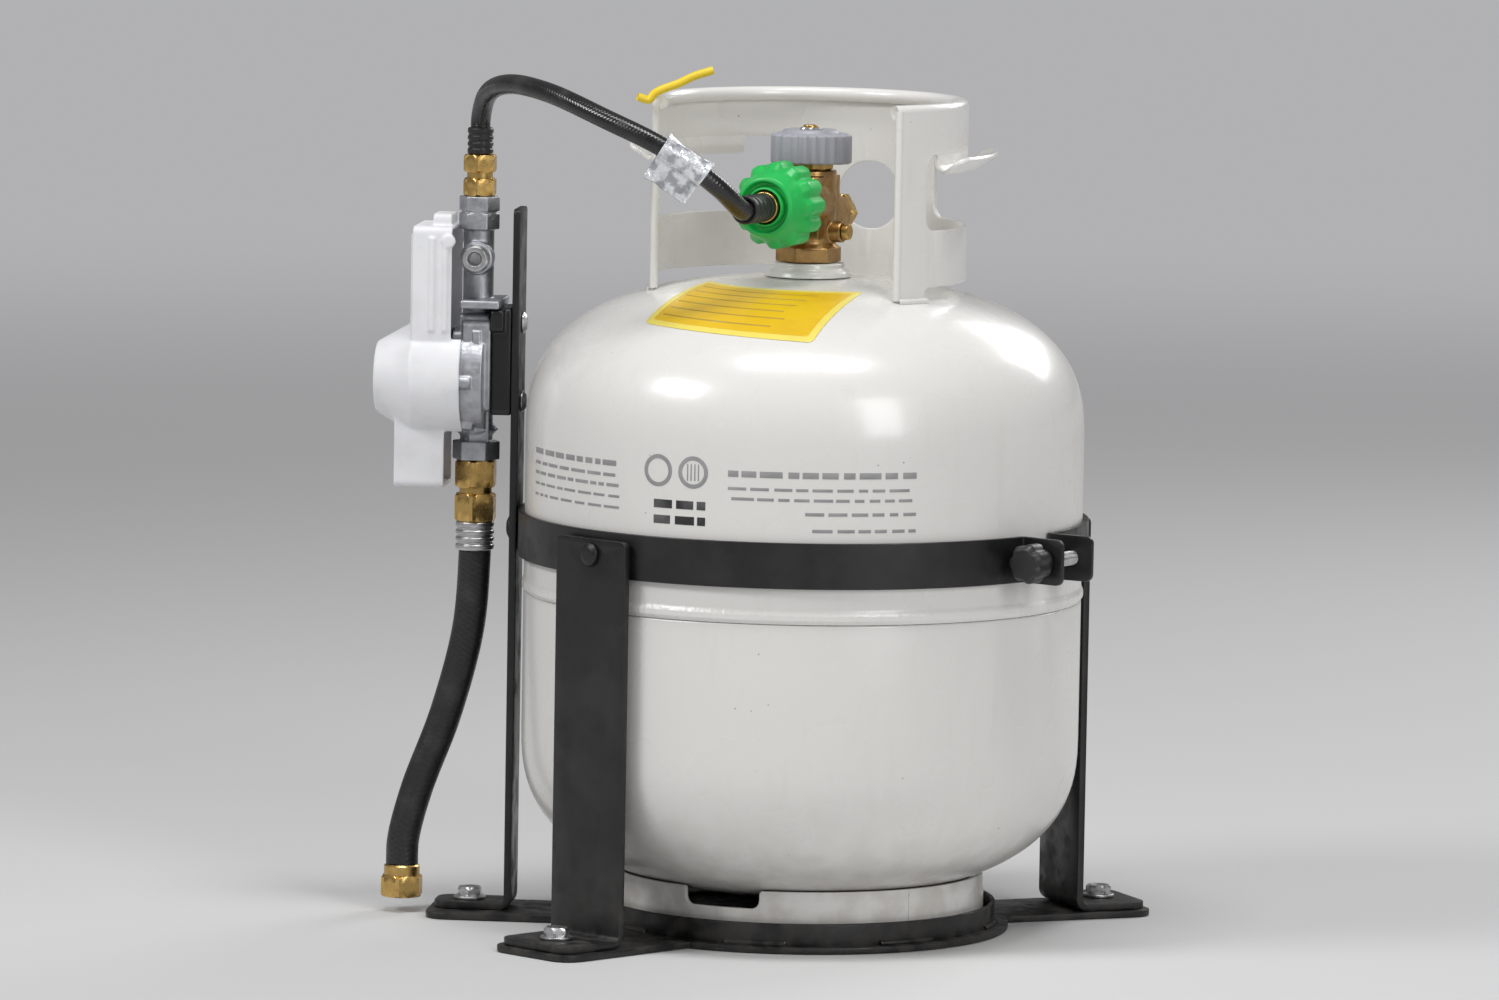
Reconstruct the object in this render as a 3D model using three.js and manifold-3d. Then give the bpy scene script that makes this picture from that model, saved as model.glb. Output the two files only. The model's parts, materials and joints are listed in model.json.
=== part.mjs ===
// A 20 lb propane cylinder for a travel trailer, with its shut-off valve, hose, regulator
// and hold-down bracket.
// Millimetres, +Z up. The origin is on the cylinder's axis at the underside of the bracket's base plate.
// The valve outlet faces -Y. An angle phi is measured from -Y towards +X, seen from above.
import * as THREE from "three";
import { mergeGeometries, mergeVertices } from "three/addons/utils/BufferGeometryUtils.js";
import Module from "manifold-3d";

const wasm = await Module();
wasm.setup();

// ---------------------------------------------------------------- driving dimensions
const GAP = 0.3; // between pieces that touch on the real object

// Cylinder
const TANK_R = 155;
const WALL = 2.6;
const DOME = 88.5;
const DOME_POWER = 2.6; // fuller at the shoulder than an ellipse, whose power is 2
const STRAIGHT = 165;
const DOME_BOTTOM = 20;
const LOW_TANGENT = DOME_BOTTOM + DOME;
const HIGH_TANGENT = LOW_TANGENT + STRAIGHT;
const DOME_TOP = HIGH_TANGENT + DOME;
const SEAM_Z = 185;
const LIP = 12;
const SHELL_SEGMENTS = 36;

// Foot ring and base plate
const PLATE_T = 3.5;
const FOOT_R = 104;
const FOOT_FLANGE = 7;
const HUB_R = 118;
const ARM_W = 62;
const ARM_CORNER = 12;
const ARM_REACH = 206;
const FOOT_BOLT_O = 184;

// Guard collar
const COLLAR_R = 87.5;
const COLLAR_T = 2.5;
const COLLAR_TOP = DOME_TOP + 100;
const RIM_R = 4;
const OPENING_HALF = 58;
const HANDHOLE = { from: 71, to: 149, low: DOME_TOP + 30.5, high: DOME_TOP + 72, corner: 7 };
const LIP_FROM = 77;
const LIP_TO = 131;
const ARCH_Z = DOME_TOP - 0.6;
const CLIP_PHI = -54;
const DISCHARGE_HOLE_R = 19;
const DISCHARGE_HOLE_Z = DOME_TOP + 40;

// Valve
const BOSS_R = 20;
const BOSS_BORE = 13.3;
const BOSS_TOP = DOME_TOP + 8;
const OUTLET_Z = DOME_TOP + 42;
const OUTLET_R = 16.65;
const OUTLET_REACH = 48;
const BARREL_R = 15;
const BARREL_TOP = DOME_TOP + 59;
const CHAMBER_R = 8.3;
const SEAT_Z = DOME_TOP + 37;
const RELIEF_Z = DOME_TOP + 33;
const RELIEF_REACH = 34;
const BLEED_Z = DOME_TOP + 25.5;
const WHEEL_R = 24;
const WHEEL_LOW = DOME_TOP + 63;
const WHEEL_HIGH = DOME_TOP + 80;

// Stop-fill float and dip tube, all narrow enough to pass the boss
const STEM_LOW = DOME_TOP - 18;
const SPIGOT_LOW = STEM_LOW - 12;
const OPD_R = 7.6;
const OPD_LOW = STEM_LOW - 46;
const PIVOT_Z = OPD_LOW - 6;
const FLOAT_R = 9;
const FLOAT_LENGTH = 55;
const FLOAT_REACH = 62;
const FLOAT_X = -3;
const FLOAT_ANGLE = 35;
const DIP_X = 10.2;
const DIP_LENGTH = 102;

// Hand coupling
const NUT_R = 24;
const NUT_NEAR = 30;
const NUT_FAR = 62;
const FERRULE_FAR = 88;
const HOSE_R = 5.5;
const HOSE_BORE = 3;
const TAG_AT = 0.225; // share of the hose's length
const TAG_SPAN = 0.042;

// Bracket
const BAND_R = TANK_R + 0.5;
const BAND_T = 3;
const BAND_Z = 217.5;
const BAND_H = 25;
const BAR_T = 4;
const BAR_IN = 159;
const BAR_OUT = BAR_IN + BAR_T;
const BAR_W = 54;
const UPRIGHT_TOP = 226;
const POST_TOP = 396;
const POST_W = 30;
const FRONT_PHI = -21.5;
const POST_PHI = -72;
const REAR_PHI = 136;
const CLAMP_PHI = 78;
const CLAMP_HALF = 4;
const CLAMP_O = 172;

// Regulator, on the post. o is the distance outwards from the cylinder's axis.
const REG_O = 184;
const REG_Z = 300;
const REG_TOP = 402;
const REG_LOW = 255;
const CASE_R = 29;
const CASE_FACE = 196;
const COVER_R = 32.5;
const COVER_WALL = 2;
const COVER_NOSE_R = 19.5;
const COVER_NOSE_O = 240;
const COVER_TOP = REG_Z + 86;
const ORIFICE_O = 186;
const LEVER_PIVOT = { o: 182.6, z: REG_Z + 14.6 };
const SCREW_HEIGHTS = [REG_Z - 12, REG_Z + 32];
const SUPPLY_R = 9;
const SUPPLY_BORE = 5;

// ---------------------------------------------------------------- geometry helpers
const rad = THREE.MathUtils.degToRad;
const v3 = (x, y, z) => new THREE.Vector3(x, y, z);
const v2 = (x, y) => new THREE.Vector2(x, y);

// A geometry as a manifold-3d solid with its faces pointing out.
function solid(geometry) {
  const bare = geometry.index ? geometry.toNonIndexed() : geometry.clone();
  for (const name of Object.keys(bare.attributes)) if (name !== "position") bare.deleteAttribute(name);
  const merged = mergeVertices(bare, 1e-3);
  const index = merged.index.array;
  const faces = [];
  for (let i = 0; i < index.length; i += 3) {
    const [a, b, c] = index.slice(i, i + 3);
    if (a !== b && b !== c && a !== c) faces.push(a, b, c);
  }
  const make = (list) =>
    new wasm.Manifold(
      new wasm.Mesh({
        numProp: 3,
        vertProperties: merged.attributes.position.array,
        triVerts: new Uint32Array(list),
      }),
    );
  const made = make(faces);
  return made.volume() > 0 ? made : make(faces.reverse());
}

const asSolid = (thing) => (thing.isBufferGeometry ? solid(thing) : thing);
const join = (...things) => things.map(asSolid).reduce((all, one) => all.add(one));
const cut = (thing, ...tools) =>
  tools.map(asSolid).reduce((left, tool) => left.subtract(tool), asSolid(thing));

function geometryOf(made) {
  const mesh = made.simplify(0.01).getMesh();
  const geometry = new THREE.BufferGeometry();
  geometry.setAttribute("position", new THREE.BufferAttribute(mesh.vertProperties.slice(), 3));
  geometry.setIndex(new THREE.BufferAttribute(mesh.triVerts.slice(), 1));
  geometry.computeVertexNormals();
  return geometry;
}

// A profile of [radius, height] points turned about Z. It starts and ends on the axis, or is closed here.
function turned(profile, segments = 20) {
  const points = profile.map(([r, z]) => v2(r, z));
  if (profile[0][0] > 0 || profile.at(-1)[0] > 0) points.push(points[0].clone());
  return new THREE.LatheGeometry(points, segments).rotateX(Math.PI / 2);
}

// A closed profile, anticlockwise in (radius, height), turned from one angle phi to another, with flat ends.
function sector(profile, from, to, segments) {
  const points = profile.map(([r, z]) => v2(r, z));
  const side = new THREE.LatheGeometry([...points, points[0].clone()], segments, rad(from), rad(to - from));
  const start = new THREE.ShapeGeometry(new THREE.Shape(points));
  const end = start.clone();
  start.rotateY(rad(from) - Math.PI / 2);
  end.rotateY(rad(to) - Math.PI / 2);
  end.setIndex([...end.index.array].reverse());
  return mergeGeometries([side, start, end]).rotateX(Math.PI / 2);
}

// A round or many-sided rod between two points, tapering if its far radius differs.
function rod(radius, from, to, segments = 16, farRadius = radius) {
  const axis = to.clone().sub(from);
  const geometry = new THREE.CylinderGeometry(farRadius, radius, axis.length(), segments);
  geometry.applyQuaternion(new THREE.Quaternion().setFromUnitVectors(v3(0, 1, 0), axis.clone().normalize()));
  return geometry.translate(...from.clone().add(to).multiplyScalar(0.5).toArray());
}

const rodZ = (radius, low, high, x = 0, y = 0, segments = 16) =>
  rod(radius, v3(x, y, low), v3(x, y, high), segments);
const rodY = (radius, from, to, z, x = 0, segments = 16) =>
  rod(radius, v3(x, from, z), v3(x, to, z), segments);
const rodX = (radius, from, to, y, z, segments = 16) =>
  rod(radius, v3(from, y, z), v3(to, y, z), segments);

function box(x0, x1, y0, y1, z0, z1) {
  const geometry = new THREE.BoxGeometry(x1 - x0, y1 - y0, z1 - z0);
  return geometry.translate((x0 + x1) / 2, (y0 + y1) / 2, (z0 + z1) / 2);
}

// An outline in (outward distance, height), given a width across, centred on the -Y side.
function slab(outline, width) {
  const settings = { depth: width, bevelEnabled: false, curveSegments: 5 };
  const geometry = new THREE.ExtrudeGeometry(outline, settings);
  geometry.translate(0, 0, -width / 2);
  return geometry.applyMatrix4(new THREE.Matrix4().makeBasis(v3(0, -1, 0), v3(0, 0, 1), v3(-1, 0, 0)));
}

// A round tube or wire along a curve.
function swept(curve, radius, steps, sides = 8, bore = 0) {
  const ring = (r, count) =>
    Array.from({ length: count }, (_, i) => {
      const angle = (2 * Math.PI * i) / count;
      return v2(r * Math.cos(angle), r * Math.sin(angle));
    });
  const shape = new THREE.Shape(ring(radius, sides));
  if (bore) shape.holes.push(new THREE.Path(ring(bore, sides).reverse()));
  return new THREE.ExtrudeGeometry(shape, { steps, extrudePath: curve, bevelEnabled: false });
}

class Helix extends THREE.Curve {
  constructor(radius, length, turns) {
    super();
    Object.assign(this, { radius, length, turns });
  }
  getPoint(t) {
    const angle = 2 * Math.PI * this.turns * t;
    return v3(this.radius * Math.cos(angle), this.radius * Math.sin(angle), this.length * t);
  }
}

// A coil spring that starts at a point and runs along an axis.
function coil(from, axis, length, radius, wire, turns) {
  const steps = Math.round(turns * 8);
  const geometry = swept(new Helix(radius, length - 2 * wire, turns), wire, steps, 5);
  geometry.translate(0, 0, wire);
  geometry.applyQuaternion(new THREE.Quaternion().setFromUnitVectors(v3(0, 0, 1), axis));
  return geometry.translate(from.x, from.y, from.z);
}

// How high the shell's domed end stands above its tangent line at radius r.
const domeHeight = (r, radius = TANK_R, height = DOME) =>
  height * Math.max(0, 1 - (r / radius) ** DOME_POWER) ** (1 / DOME_POWER);

// Points on the domed end of a shell, from one radius to another.
function domeArc(radius, height, tangent, direction, fromR, toR, count) {
  const spread = 2 / DOME_POWER;
  const a0 = Math.asin((fromR / radius) ** (1 / spread));
  const a1 = Math.asin((toR / radius) ** (1 / spread));
  return Array.from({ length: count }, (_, i) => {
    const angle = a0 + ((a1 - a0) * i) / (count - 1);
    const r = radius * Math.sin(angle) ** spread;
    return [r, tangent + direction * domeHeight(r, radius, height)];
  });
}

// ---------------------------------------------------------------- materials
const finish = (color, roughness, metalness) =>
  new THREE.MeshStandardMaterial({ color, roughness, metalness });
const MATERIALS = {
  whitePaint: finish(0xe4e3df, 0.35, 0),
  blackPaint: finish(0x151516, 0.45, 0.1),
  brass: finish(0xb08d4a, 0.35, 1),
  zinc: finish(0x9a9ca2, 0.4, 0.9),
  steel: finish(0xb9bcc0, 0.35, 1),
  wheel: finish(0x8f9098, 0.5, 0.4),
  green: finish(0x2fa84f, 0.4, 0),
  whitePlastic: finish(0xe6e6e8, 0.45, 0),
  yellow: finish(0xe6b816, 0.45, 0),
  blackPlastic: finish(0x101011, 0.5, 0),
  hose: finish(0x17181a, 0.55, 0),
  rubber: finish(0x202020, 0.8, 0),
  tag: finish(0xb4b8bd, 0.4, 0),
  float: finish(0x3b3630, 0.7, 0),
};

function piece(parent, name, shape, material) {
  const mesh = new THREE.Mesh(shape.isBufferGeometry ? shape : geometryOf(shape), MATERIALS[material]);
  mesh.name = name;
  parent.add(mesh);
  return mesh;
}

const root = new THREE.Group();

function groupAt(phi = 0) {
  const group = new THREE.Group();
  group.rotation.z = rad(phi);
  root.add(group);
  return group;
}

// ---------------------------------------------------------------- pressure vessel
function lowerShell() {
  const inner = TANK_R - WALL;
  const lipOut = inner - GAP;
  return turned(
    [
      ...domeArc(TANK_R, DOME, LOW_TANGENT, -1, 0, TANK_R, 8),
      [TANK_R, SEAM_Z],
      [lipOut, SEAM_Z],
      [lipOut, SEAM_Z + LIP],
      [lipOut - WALL, SEAM_Z + LIP],
      [lipOut - WALL, SEAM_Z - 2],
      [inner, SEAM_Z - 8],
      ...domeArc(inner, DOME - WALL, LOW_TANGENT, -1, 0, inner, 8).reverse(),
    ],
    SHELL_SEGMENTS,
  );
}

function upperShell() {
  const inner = TANK_R - WALL;
  const edge = SEAM_Z + GAP;
  return turned(
    [
      [inner, edge],
      [TANK_R, edge],
      [TANK_R + 1, edge + 2],
      [TANK_R + 1, edge + 5],
      [TANK_R, edge + 7],
      ...domeArc(TANK_R, DOME, HIGH_TANGENT, 1, BOSS_R, TANK_R, 8).reverse(),
      ...domeArc(inner, DOME - WALL, HIGH_TANGENT, 1, BOSS_R, inner, 8),
    ],
    SHELL_SEGMENTS,
  );
}

function footRing() {
  const low = PLATE_T + GAP;
  const inner = FOOT_R - WALL;
  const high = LOW_TANGENT - domeHeight(inner) - 0.6;
  const ring = turned(
    [
      [FOOT_R - FOOT_FLANGE, low],
      [FOOT_R, low],
      [FOOT_R, high],
      [inner, high],
      [inner, low + WALL],
      [FOOT_R - FOOT_FLANGE, low + WALL],
    ],
    SHELL_SEGMENTS,
  );
  const vents = [0, 120, 240].map((angle) =>
    box(-22, 22, -FOOT_R - 5, -inner + 14, high - 10, high + 5).rotateZ(rad(angle)),
  );
  return cut(ring, ...vents);
}

function valveBoss() {
  const neck = BOSS_R - GAP;
  return turned(
    [
      [BOSS_BORE, DOME_TOP - 11],
      [neck, DOME_TOP - 11],
      [neck, DOME_TOP + GAP],
      [neck + 4, DOME_TOP + GAP],
      [neck + 4, DOME_TOP + 3.5],
      [neck + 1, BOSS_TOP],
      [BOSS_BORE, BOSS_TOP],
    ],
    24,
  );
}

// The rounded opening of a hand hole, mirrored to the other side when side is -1.
function handHoleTool(side) {
  const { from, to, low, high, corner } = HANDHOLE;
  const step = THREE.MathUtils.radToDeg(corner / COLLAR_R);
  const near = COLLAR_R - 15;
  const far = COLLAR_R + 15;
  const ring = (a, b, z0, z1, segments) => {
    const [start, end] = side > 0 ? [a, b] : [360 - b, 360 - a];
    return sector([[near, z0], [far, z0], [far, z1], [near, z1]], start, end, segments);
  };
  const corners = [from + step, to - step].flatMap((phi) =>
    [low + corner, high - corner].map((z) =>
      rodY(corner, -near, -far, z, 0, 12).rotateZ(rad(side * phi)),
    ),
  );
  const across = ring(from, to, low + corner, high - corner, 12);
  const upAndDown = ring(from + step, to - step, low, high, 12);
  return join(across, upAndDown, ...corners);
}

function guardCollar() {
  const inner = COLLAR_R - COLLAR_T;
  const foot = HIGH_TANGENT + domeHeight(inner) + GAP;
  const rimZ = COLLAR_TOP - RIM_R;
  const rimO = COLLAR_R - RIM_R;
  const start = OPENING_HALF;
  const end = 360 - OPENING_HALF;
  const sheet = sector([[inner, foot], [COLLAR_R, foot], [COLLAR_R, rimZ], [inner, rimZ]], start, end, 30);
  const rimProfile = Array.from({ length: 7 }, (_, i) => {
    const angle = (2 * Math.PI * i) / 7;
    return [rimO + RIM_R * Math.cos(angle), rimZ + RIM_R * Math.sin(angle)];
  });
  const rim = sector(rimProfile, start, end, 30);
  const hems = [start, end].map((phi) => hem(phi, foot + 1, rimZ));
  const lipZ = HANDHOLE.high;
  const lip = [
    [inner, lipZ + 1],
    [inner, lipZ - 8],
    [inner + 1.5, lipZ - 10.5],
    [inner + 4, lipZ - 11.4],
    [inner + 8, lipZ - 10.4],
    [inner + 14, lipZ - 6.6],
    [inner + 19.2, lipZ - 2.4],
    [inner + 17.6, lipZ - 0.5],
    [inner + 12.5, lipZ - 4.5],
    [inner + 7, lipZ - 7.8],
    [inner + 4, lipZ - 8.6],
    [COLLAR_R, lipZ - 7],
    [COLLAR_R, lipZ + 1],
  ];
  const lips = [sector(lip, LIP_FROM, LIP_TO, 10), sector(lip, 360 - LIP_TO, 360 - LIP_FROM, 10)];
  const near = inner - 10;
  const far = COLLAR_R + 10;
  const archProfile = [[near, foot - 9], [far, foot - 9], [far, ARCH_Z], [near, ARCH_Z]];
  const arches = [
    sector(archProfile, HANDHOLE.from, HANDHOLE.to, 12),
    sector(archProfile, 360 - HANDHOLE.to, 360 - HANDHOLE.from, 12),
  ];
  const discharge = rodY(DISCHARGE_HOLE_R, near, far, DISCHARGE_HOLE_Z, 0, 20);
  const opened = cut(join(sheet, rim, ...hems), handHoleTool(1), handHoleTool(-1), ...arches, discharge);
  return join(opened, ...lips);
}

function hem(phi, low, high) {
  return rodZ(2.2, low, high, 0, -(COLLAR_R - COLLAR_T / 2), 8).rotateZ(rad(phi));
}

// A plastic clip hooked over the collar's rim, with its tail standing up inside.
function rimClip() {
  const rimO = COLLAR_R - RIM_R;
  const strip = (points, thickness) => {
    const left = [];
    const right = [];
    points.forEach(([o, z], i) => {
      const [ao, az] = points[Math.max(i - 1, 0)];
      const [bo, bz] = points[Math.min(i + 1, points.length - 1)];
      const along = v2(bo - ao, bz - az).normalize();
      left.push(v2(o - along.y * thickness * 0.5, z + along.x * thickness * 0.5));
      right.unshift(v2(o + along.y * thickness * 0.5, z - along.x * thickness * 0.5));
    });
    return new THREE.Shape([...left, ...right].map((point) => point.add(v2(0, COLLAR_TOP))));
  };
  const saddle = [
    [rimO + 13.5, -2.5], [rimO + 8, -4.5], [rimO + 5.6, -2.6], [rimO + 3.6, 0.4],
    [rimO, 1.5], [rimO - 3.9, 0.2], [rimO - 5.6, -4], [rimO - 5.2, -8],
  ];
  const tail = [[rimO + 1, 1.6], [rimO - 7, 3.4], [rimO - 17, 10.5], [rimO - 27, 15.6]];
  return join(slab(strip(saddle, 1.8), 5), slab(strip(tail, 1.8), 5));
}

function buildVessel() {
  const group = groupAt();
  piece(group, "lower_shell", lowerShell(), "whitePaint");
  piece(group, "upper_shell", upperShell(), "whitePaint");
  piece(group, "foot_ring", footRing(), "whitePaint");
  piece(group, "valve_boss", valveBoss(), "whitePaint");
  piece(group, "guard_collar", guardCollar(), "whitePaint");
  piece(groupAt(CLIP_PHI), "rim_clip", rimClip(), "yellow");
}

// ---------------------------------------------------------------- shut-off valve
function valveBody() {
  const body = join(
    rodZ(BOSS_BORE - GAP, STEM_LOW, BOSS_TOP + 1, 0, 0, 20),
    rodZ(5.2, SPIGOT_LOW, STEM_LOW + 1),
    rodZ(18.5, BOSS_TOP + GAP, BOSS_TOP + 10, 0, 0, 6),
    rodZ(BARREL_R, BOSS_TOP + 9, BARREL_TOP, 0, 0, 20),
    rodY(OUTLET_R, 2, -OUTLET_REACH, OUTLET_Z, 0, 24),
    rodY(11, -3, RELIEF_REACH, RELIEF_Z, 0, 18),
    rodX(6, 1, 21, 0, BLEED_Z, 12),
  );
  return cut(
    body,
    rodZ(3.2, SPIGOT_LOW - 1, SEAT_Z + 1, 0, 0, 12),
    rodZ(CHAMBER_R, SEAT_Z, BARREL_TOP + 1),
    rodY(5, -5, -19, OUTLET_Z, 0, 12),
    rodY(11, -18, -OUTLET_REACH - 1, OUTLET_Z, 0, 20),
    rodY(2.5, 1, 13, RELIEF_Z, 0, 8),
    rodY(7.5, 12, RELIEF_REACH + 1, RELIEF_Z),
    rodX(3.3, 12, 22, 0, BLEED_Z, 12),
  );
}

function handwheel() {
  const shape = new THREE.Shape();
  const lobes = 3;
  const points = 48;
  for (let i = 0; i < points; i += 1) {
    const angle = (2 * Math.PI * i) / points;
    const r = WHEEL_R - 2.2 + 2.2 * Math.cos(lobes * angle) - (i % 2) * 0.9;
    const at = [r * Math.cos(angle), r * Math.sin(angle)];
    if (i) shape.lineTo(...at);
    else shape.moveTo(...at);
  }
  const height = WHEEL_HIGH - WHEEL_LOW;
  const wheel = new THREE.ExtrudeGeometry(shape, { depth: height, bevelEnabled: false });
  wheel.translate(0, 0, WHEEL_LOW);
  const crown = rodZ(WHEEL_R - 9, WHEEL_HIGH - 1, WHEEL_HIGH + 1.5, 0, 0, 20);
  return cut(
    join(wheel, crown),
    rodZ(15.5, WHEEL_LOW - 1, WHEEL_HIGH - 7, 0, 0, 20),
    rodZ(4 + GAP, WHEEL_LOW - 1, WHEEL_HIGH + 5, 0, 0, 12),
    rodZ(7, WHEEL_HIGH - 2, WHEEL_HIGH + 5),
  );
}

function buildValve() {
  const group = groupAt();
  piece(group, "valve_body", valveBody(), "brass");
  const plugLow = BARREL_TOP - 6;
  const bonnet = join(
    rodZ(CHAMBER_R - GAP, plugLow, BARREL_TOP + 1),
    rodZ(14, BARREL_TOP + GAP, BARREL_TOP + 8, 0, 0, 6),
  );
  piece(group, "valve_bonnet", cut(bonnet, rodZ(4 + GAP, plugLow - 1, BARREL_TOP + 9, 0, 0, 12)), "brass");
  const spindleTop = WHEEL_HIGH + 4;
  const spindle = join(
    rodZ(4, SEAT_Z + 6.3, spindleTop, 0, 0, 12),
    rodZ(7.5, SEAT_Z + 8, SEAT_Z + 11),
  );
  piece(group, "valve_spindle", spindle, "brass");
  piece(group, "seat_disc", rodZ(7.5, SEAT_Z + GAP, SEAT_Z + 6), "rubber");
  piece(group, "handwheel", handwheel(), "wheel");
  const nut = cut(
    rodZ(6.5, WHEEL_HIGH - 1.6, WHEEL_HIGH + 2.6, 0, 0, 6),
    rodZ(4 + GAP, WHEEL_HIGH - 3, WHEEL_HIGH + 5, 0, 0, 12),
  );
  piece(group, "handwheel_nut", nut, "steel");

  const screw = cut(
    join(rodX(3, 12.5, 23, 0, BLEED_Z, 12), rodX(4.5, 21.3, 25, 0, BLEED_Z, 12)),
    box(24, 26, -5, 5, BLEED_Z - 0.6, BLEED_Z + 0.6),
  );
  piece(group, "bleed_screw", screw, "brass");
}

// The spring-loaded safety valve on the back of the body.
function buildRelief() {
  const group = groupAt();
  const poppet = join(rodY(5.5, 12.4, 15.4, RELIEF_Z), rodY(2, 15, 21, RELIEF_Z, 0, 8));
  piece(group, "relief_poppet", poppet, "rubber");
  piece(group, "relief_spring", coil(v3(0, 15.8, RELIEF_Z), v3(0, 1, 0), 10.8, 4.4, 0.7, 4), "steel");
  const cap = cut(
    join(
      rodY(7.2, 27, RELIEF_REACH + 1, RELIEF_Z),
      rodY(12, RELIEF_REACH + GAP, RELIEF_REACH + 8, RELIEF_Z, 0, 6),
    ),
    rodY(3, 26, RELIEF_REACH + 9, RELIEF_Z, 0, 12),
    rodY(8, RELIEF_REACH + 5, RELIEF_REACH + 9, RELIEF_Z),
  );
  piece(group, "relief_cap", cap, "brass");
}

// The check that closes the outlet when no connector is in it.
function buildOutletCheck() {
  const group = groupAt();
  const check = join(
    rodY(8, -24, -29, OUTLET_Z),
    rodY(2.5, -25, -19.5, OUTLET_Z, 0, 8),
    rodY(4, -28, -34, OUTLET_Z, 0, 12),
  );
  piece(group, "outlet_check", check, "blackPlastic");
}

// ---------------------------------------------------------------- stop-fill float and level gauge
function buildStopFill() {
  const group = groupAt();
  const ears = [-1, 1].map((side) => {
    const inner = side * 3.2;
    const outer = side * 6;
    return box(Math.min(inner, outer), Math.max(inner, outer), -4, 4, PIVOT_Z - 5, OPD_LOW + 1);
  });
  const body = cut(
    join(rodZ(OPD_R, OPD_LOW, STEM_LOW - GAP, 0, 0, 16), ...ears),
    rodZ(5.2 + GAP, SPIGOT_LOW - 1, STEM_LOW + 1),
    rodZ(4.6, OPD_LOW + 8, SPIGOT_LOW, 0, 0, 12),
    rodZ(2, OPD_LOW - 1, OPD_LOW + 9, 0, 0, 8),
    rodX(1.8, -9, 9, 0, PIVOT_Z, 10),
    rodX(2.2, -9, 9, 0, OPD_LOW + 15, 10),
  );
  piece(group, "stop_fill_body", body, "blackPlastic");
  const plunger = join(
    rodZ(4.2, SPIGOT_LOW - 9.5, SPIGOT_LOW - 3.5, 0, 0, 12),
    rodZ(1.5, OPD_LOW + 0.5, SPIGOT_LOW - 9, 0, 0, 8),
  );
  piece(group, "stop_fill_plunger", plunger, "brass");
  piece(group, "float_pin", rodX(1.5, -7.5, 7.5, 0, PIVOT_Z, 10), "steel");

  // The float hangs from the pin on its arm, swung towards -Y.
  const swing = new THREE.Group();
  swing.position.set(0, 0, PIVOT_Z);
  swing.rotation.x = -rad(FLOAT_ANGLE);
  group.add(swing);
  const armEnd = -(FLOAT_REACH - FLOAT_LENGTH / 2) - 6;
  const arm = cut(
    join(box(-2.6, 2.6, -1.5, 1.5, armEnd, 0), rodX(3.4, -2.6, 2.6, 0, 0, 12)),
    rodX(1.8, -9, 9, 0, 0, 10),
  );
  piece(swing, "float_arm", arm, "brass");
  const top = -(FLOAT_REACH - FLOAT_LENGTH / 2);
  const float = cut(
    rodZ(FLOAT_R, top - FLOAT_LENGTH, top, FLOAT_X, 0, 14),
    box(-2.6 - GAP, 2.6 + GAP, -1.5 - GAP, 1.5 + GAP, armEnd - GAP, top + 1),
  );
  piece(swing, "float", float, "float");

  const dip = cut(
    rodZ(2, STEM_LOW - DIP_LENGTH, STEM_LOW - GAP, DIP_X, 0, 8),
    rodZ(1.1, STEM_LOW - DIP_LENGTH - 1, STEM_LOW + 1, DIP_X, 0, 8),
  );
  piece(group, "dip_tube", dip, "steel");
}

// ---------------------------------------------------------------- hand coupling and pigtail hose
function couplingNut() {
  const teeth = 12;
  const shape = new THREE.Shape();
  for (let i = 0; i < teeth * 4; i += 1) {
    const angle = (2 * Math.PI * i) / (teeth * 4);
    const r = i % 4 < 2 ? NUT_R : NUT_R - 2.2;
    const at = [r * Math.cos(angle), r * Math.sin(angle)];
    if (i) shape.lineTo(...at);
    else shape.moveTo(...at);
  }
  const grip = new THREE.ExtrudeGeometry(shape, { depth: 20, bevelEnabled: false });
  grip.rotateX(Math.PI / 2).translate(0, -NUT_NEAR, OUTLET_Z);
  return cut(
    join(
      grip,
      rod(NUT_R - 2.5, v3(0, -NUT_NEAR - 19, OUTLET_Z), v3(0, -NUT_FAR, OUTLET_Z), 24, NUT_R - 9),
    ),
    rodY(OUTLET_R + GAP, -NUT_NEAR + 1, -OUTLET_REACH - 8, OUTLET_Z, 0, 24),
    rodY(9.6, -OUTLET_REACH, -NUT_FAR - 1, OUTLET_Z, 0, 16),
  );
}

function pigtailPath() {
  const end = v3(Math.sin(rad(POST_PHI)) * REG_O, -Math.cos(rad(POST_PHI)) * REG_O, 0);
  return new THREE.CatmullRomCurve3(
    [
      v3(0, -FERRULE_FAR + 14, OUTLET_Z),
      v3(0, -FERRULE_FAR + 7, OUTLET_Z),
      v3(0, -FERRULE_FAR - 2, OUTLET_Z),
      v3(-7, -109, OUTLET_Z + 14),
      v3(-32, -123, 438),
      v3(-68, -124, 453),
      v3(-108, -112, 465),
      v3(-143, -90, 467),
      v3(-166, -68, 459),
      v3(end.x, end.y, REG_TOP + 43),
      v3(end.x, end.y, REG_TOP + 34),
      v3(end.x, end.y, REG_TOP + 25),
    ],
    false,
    "centripetal",
  );
}

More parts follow.
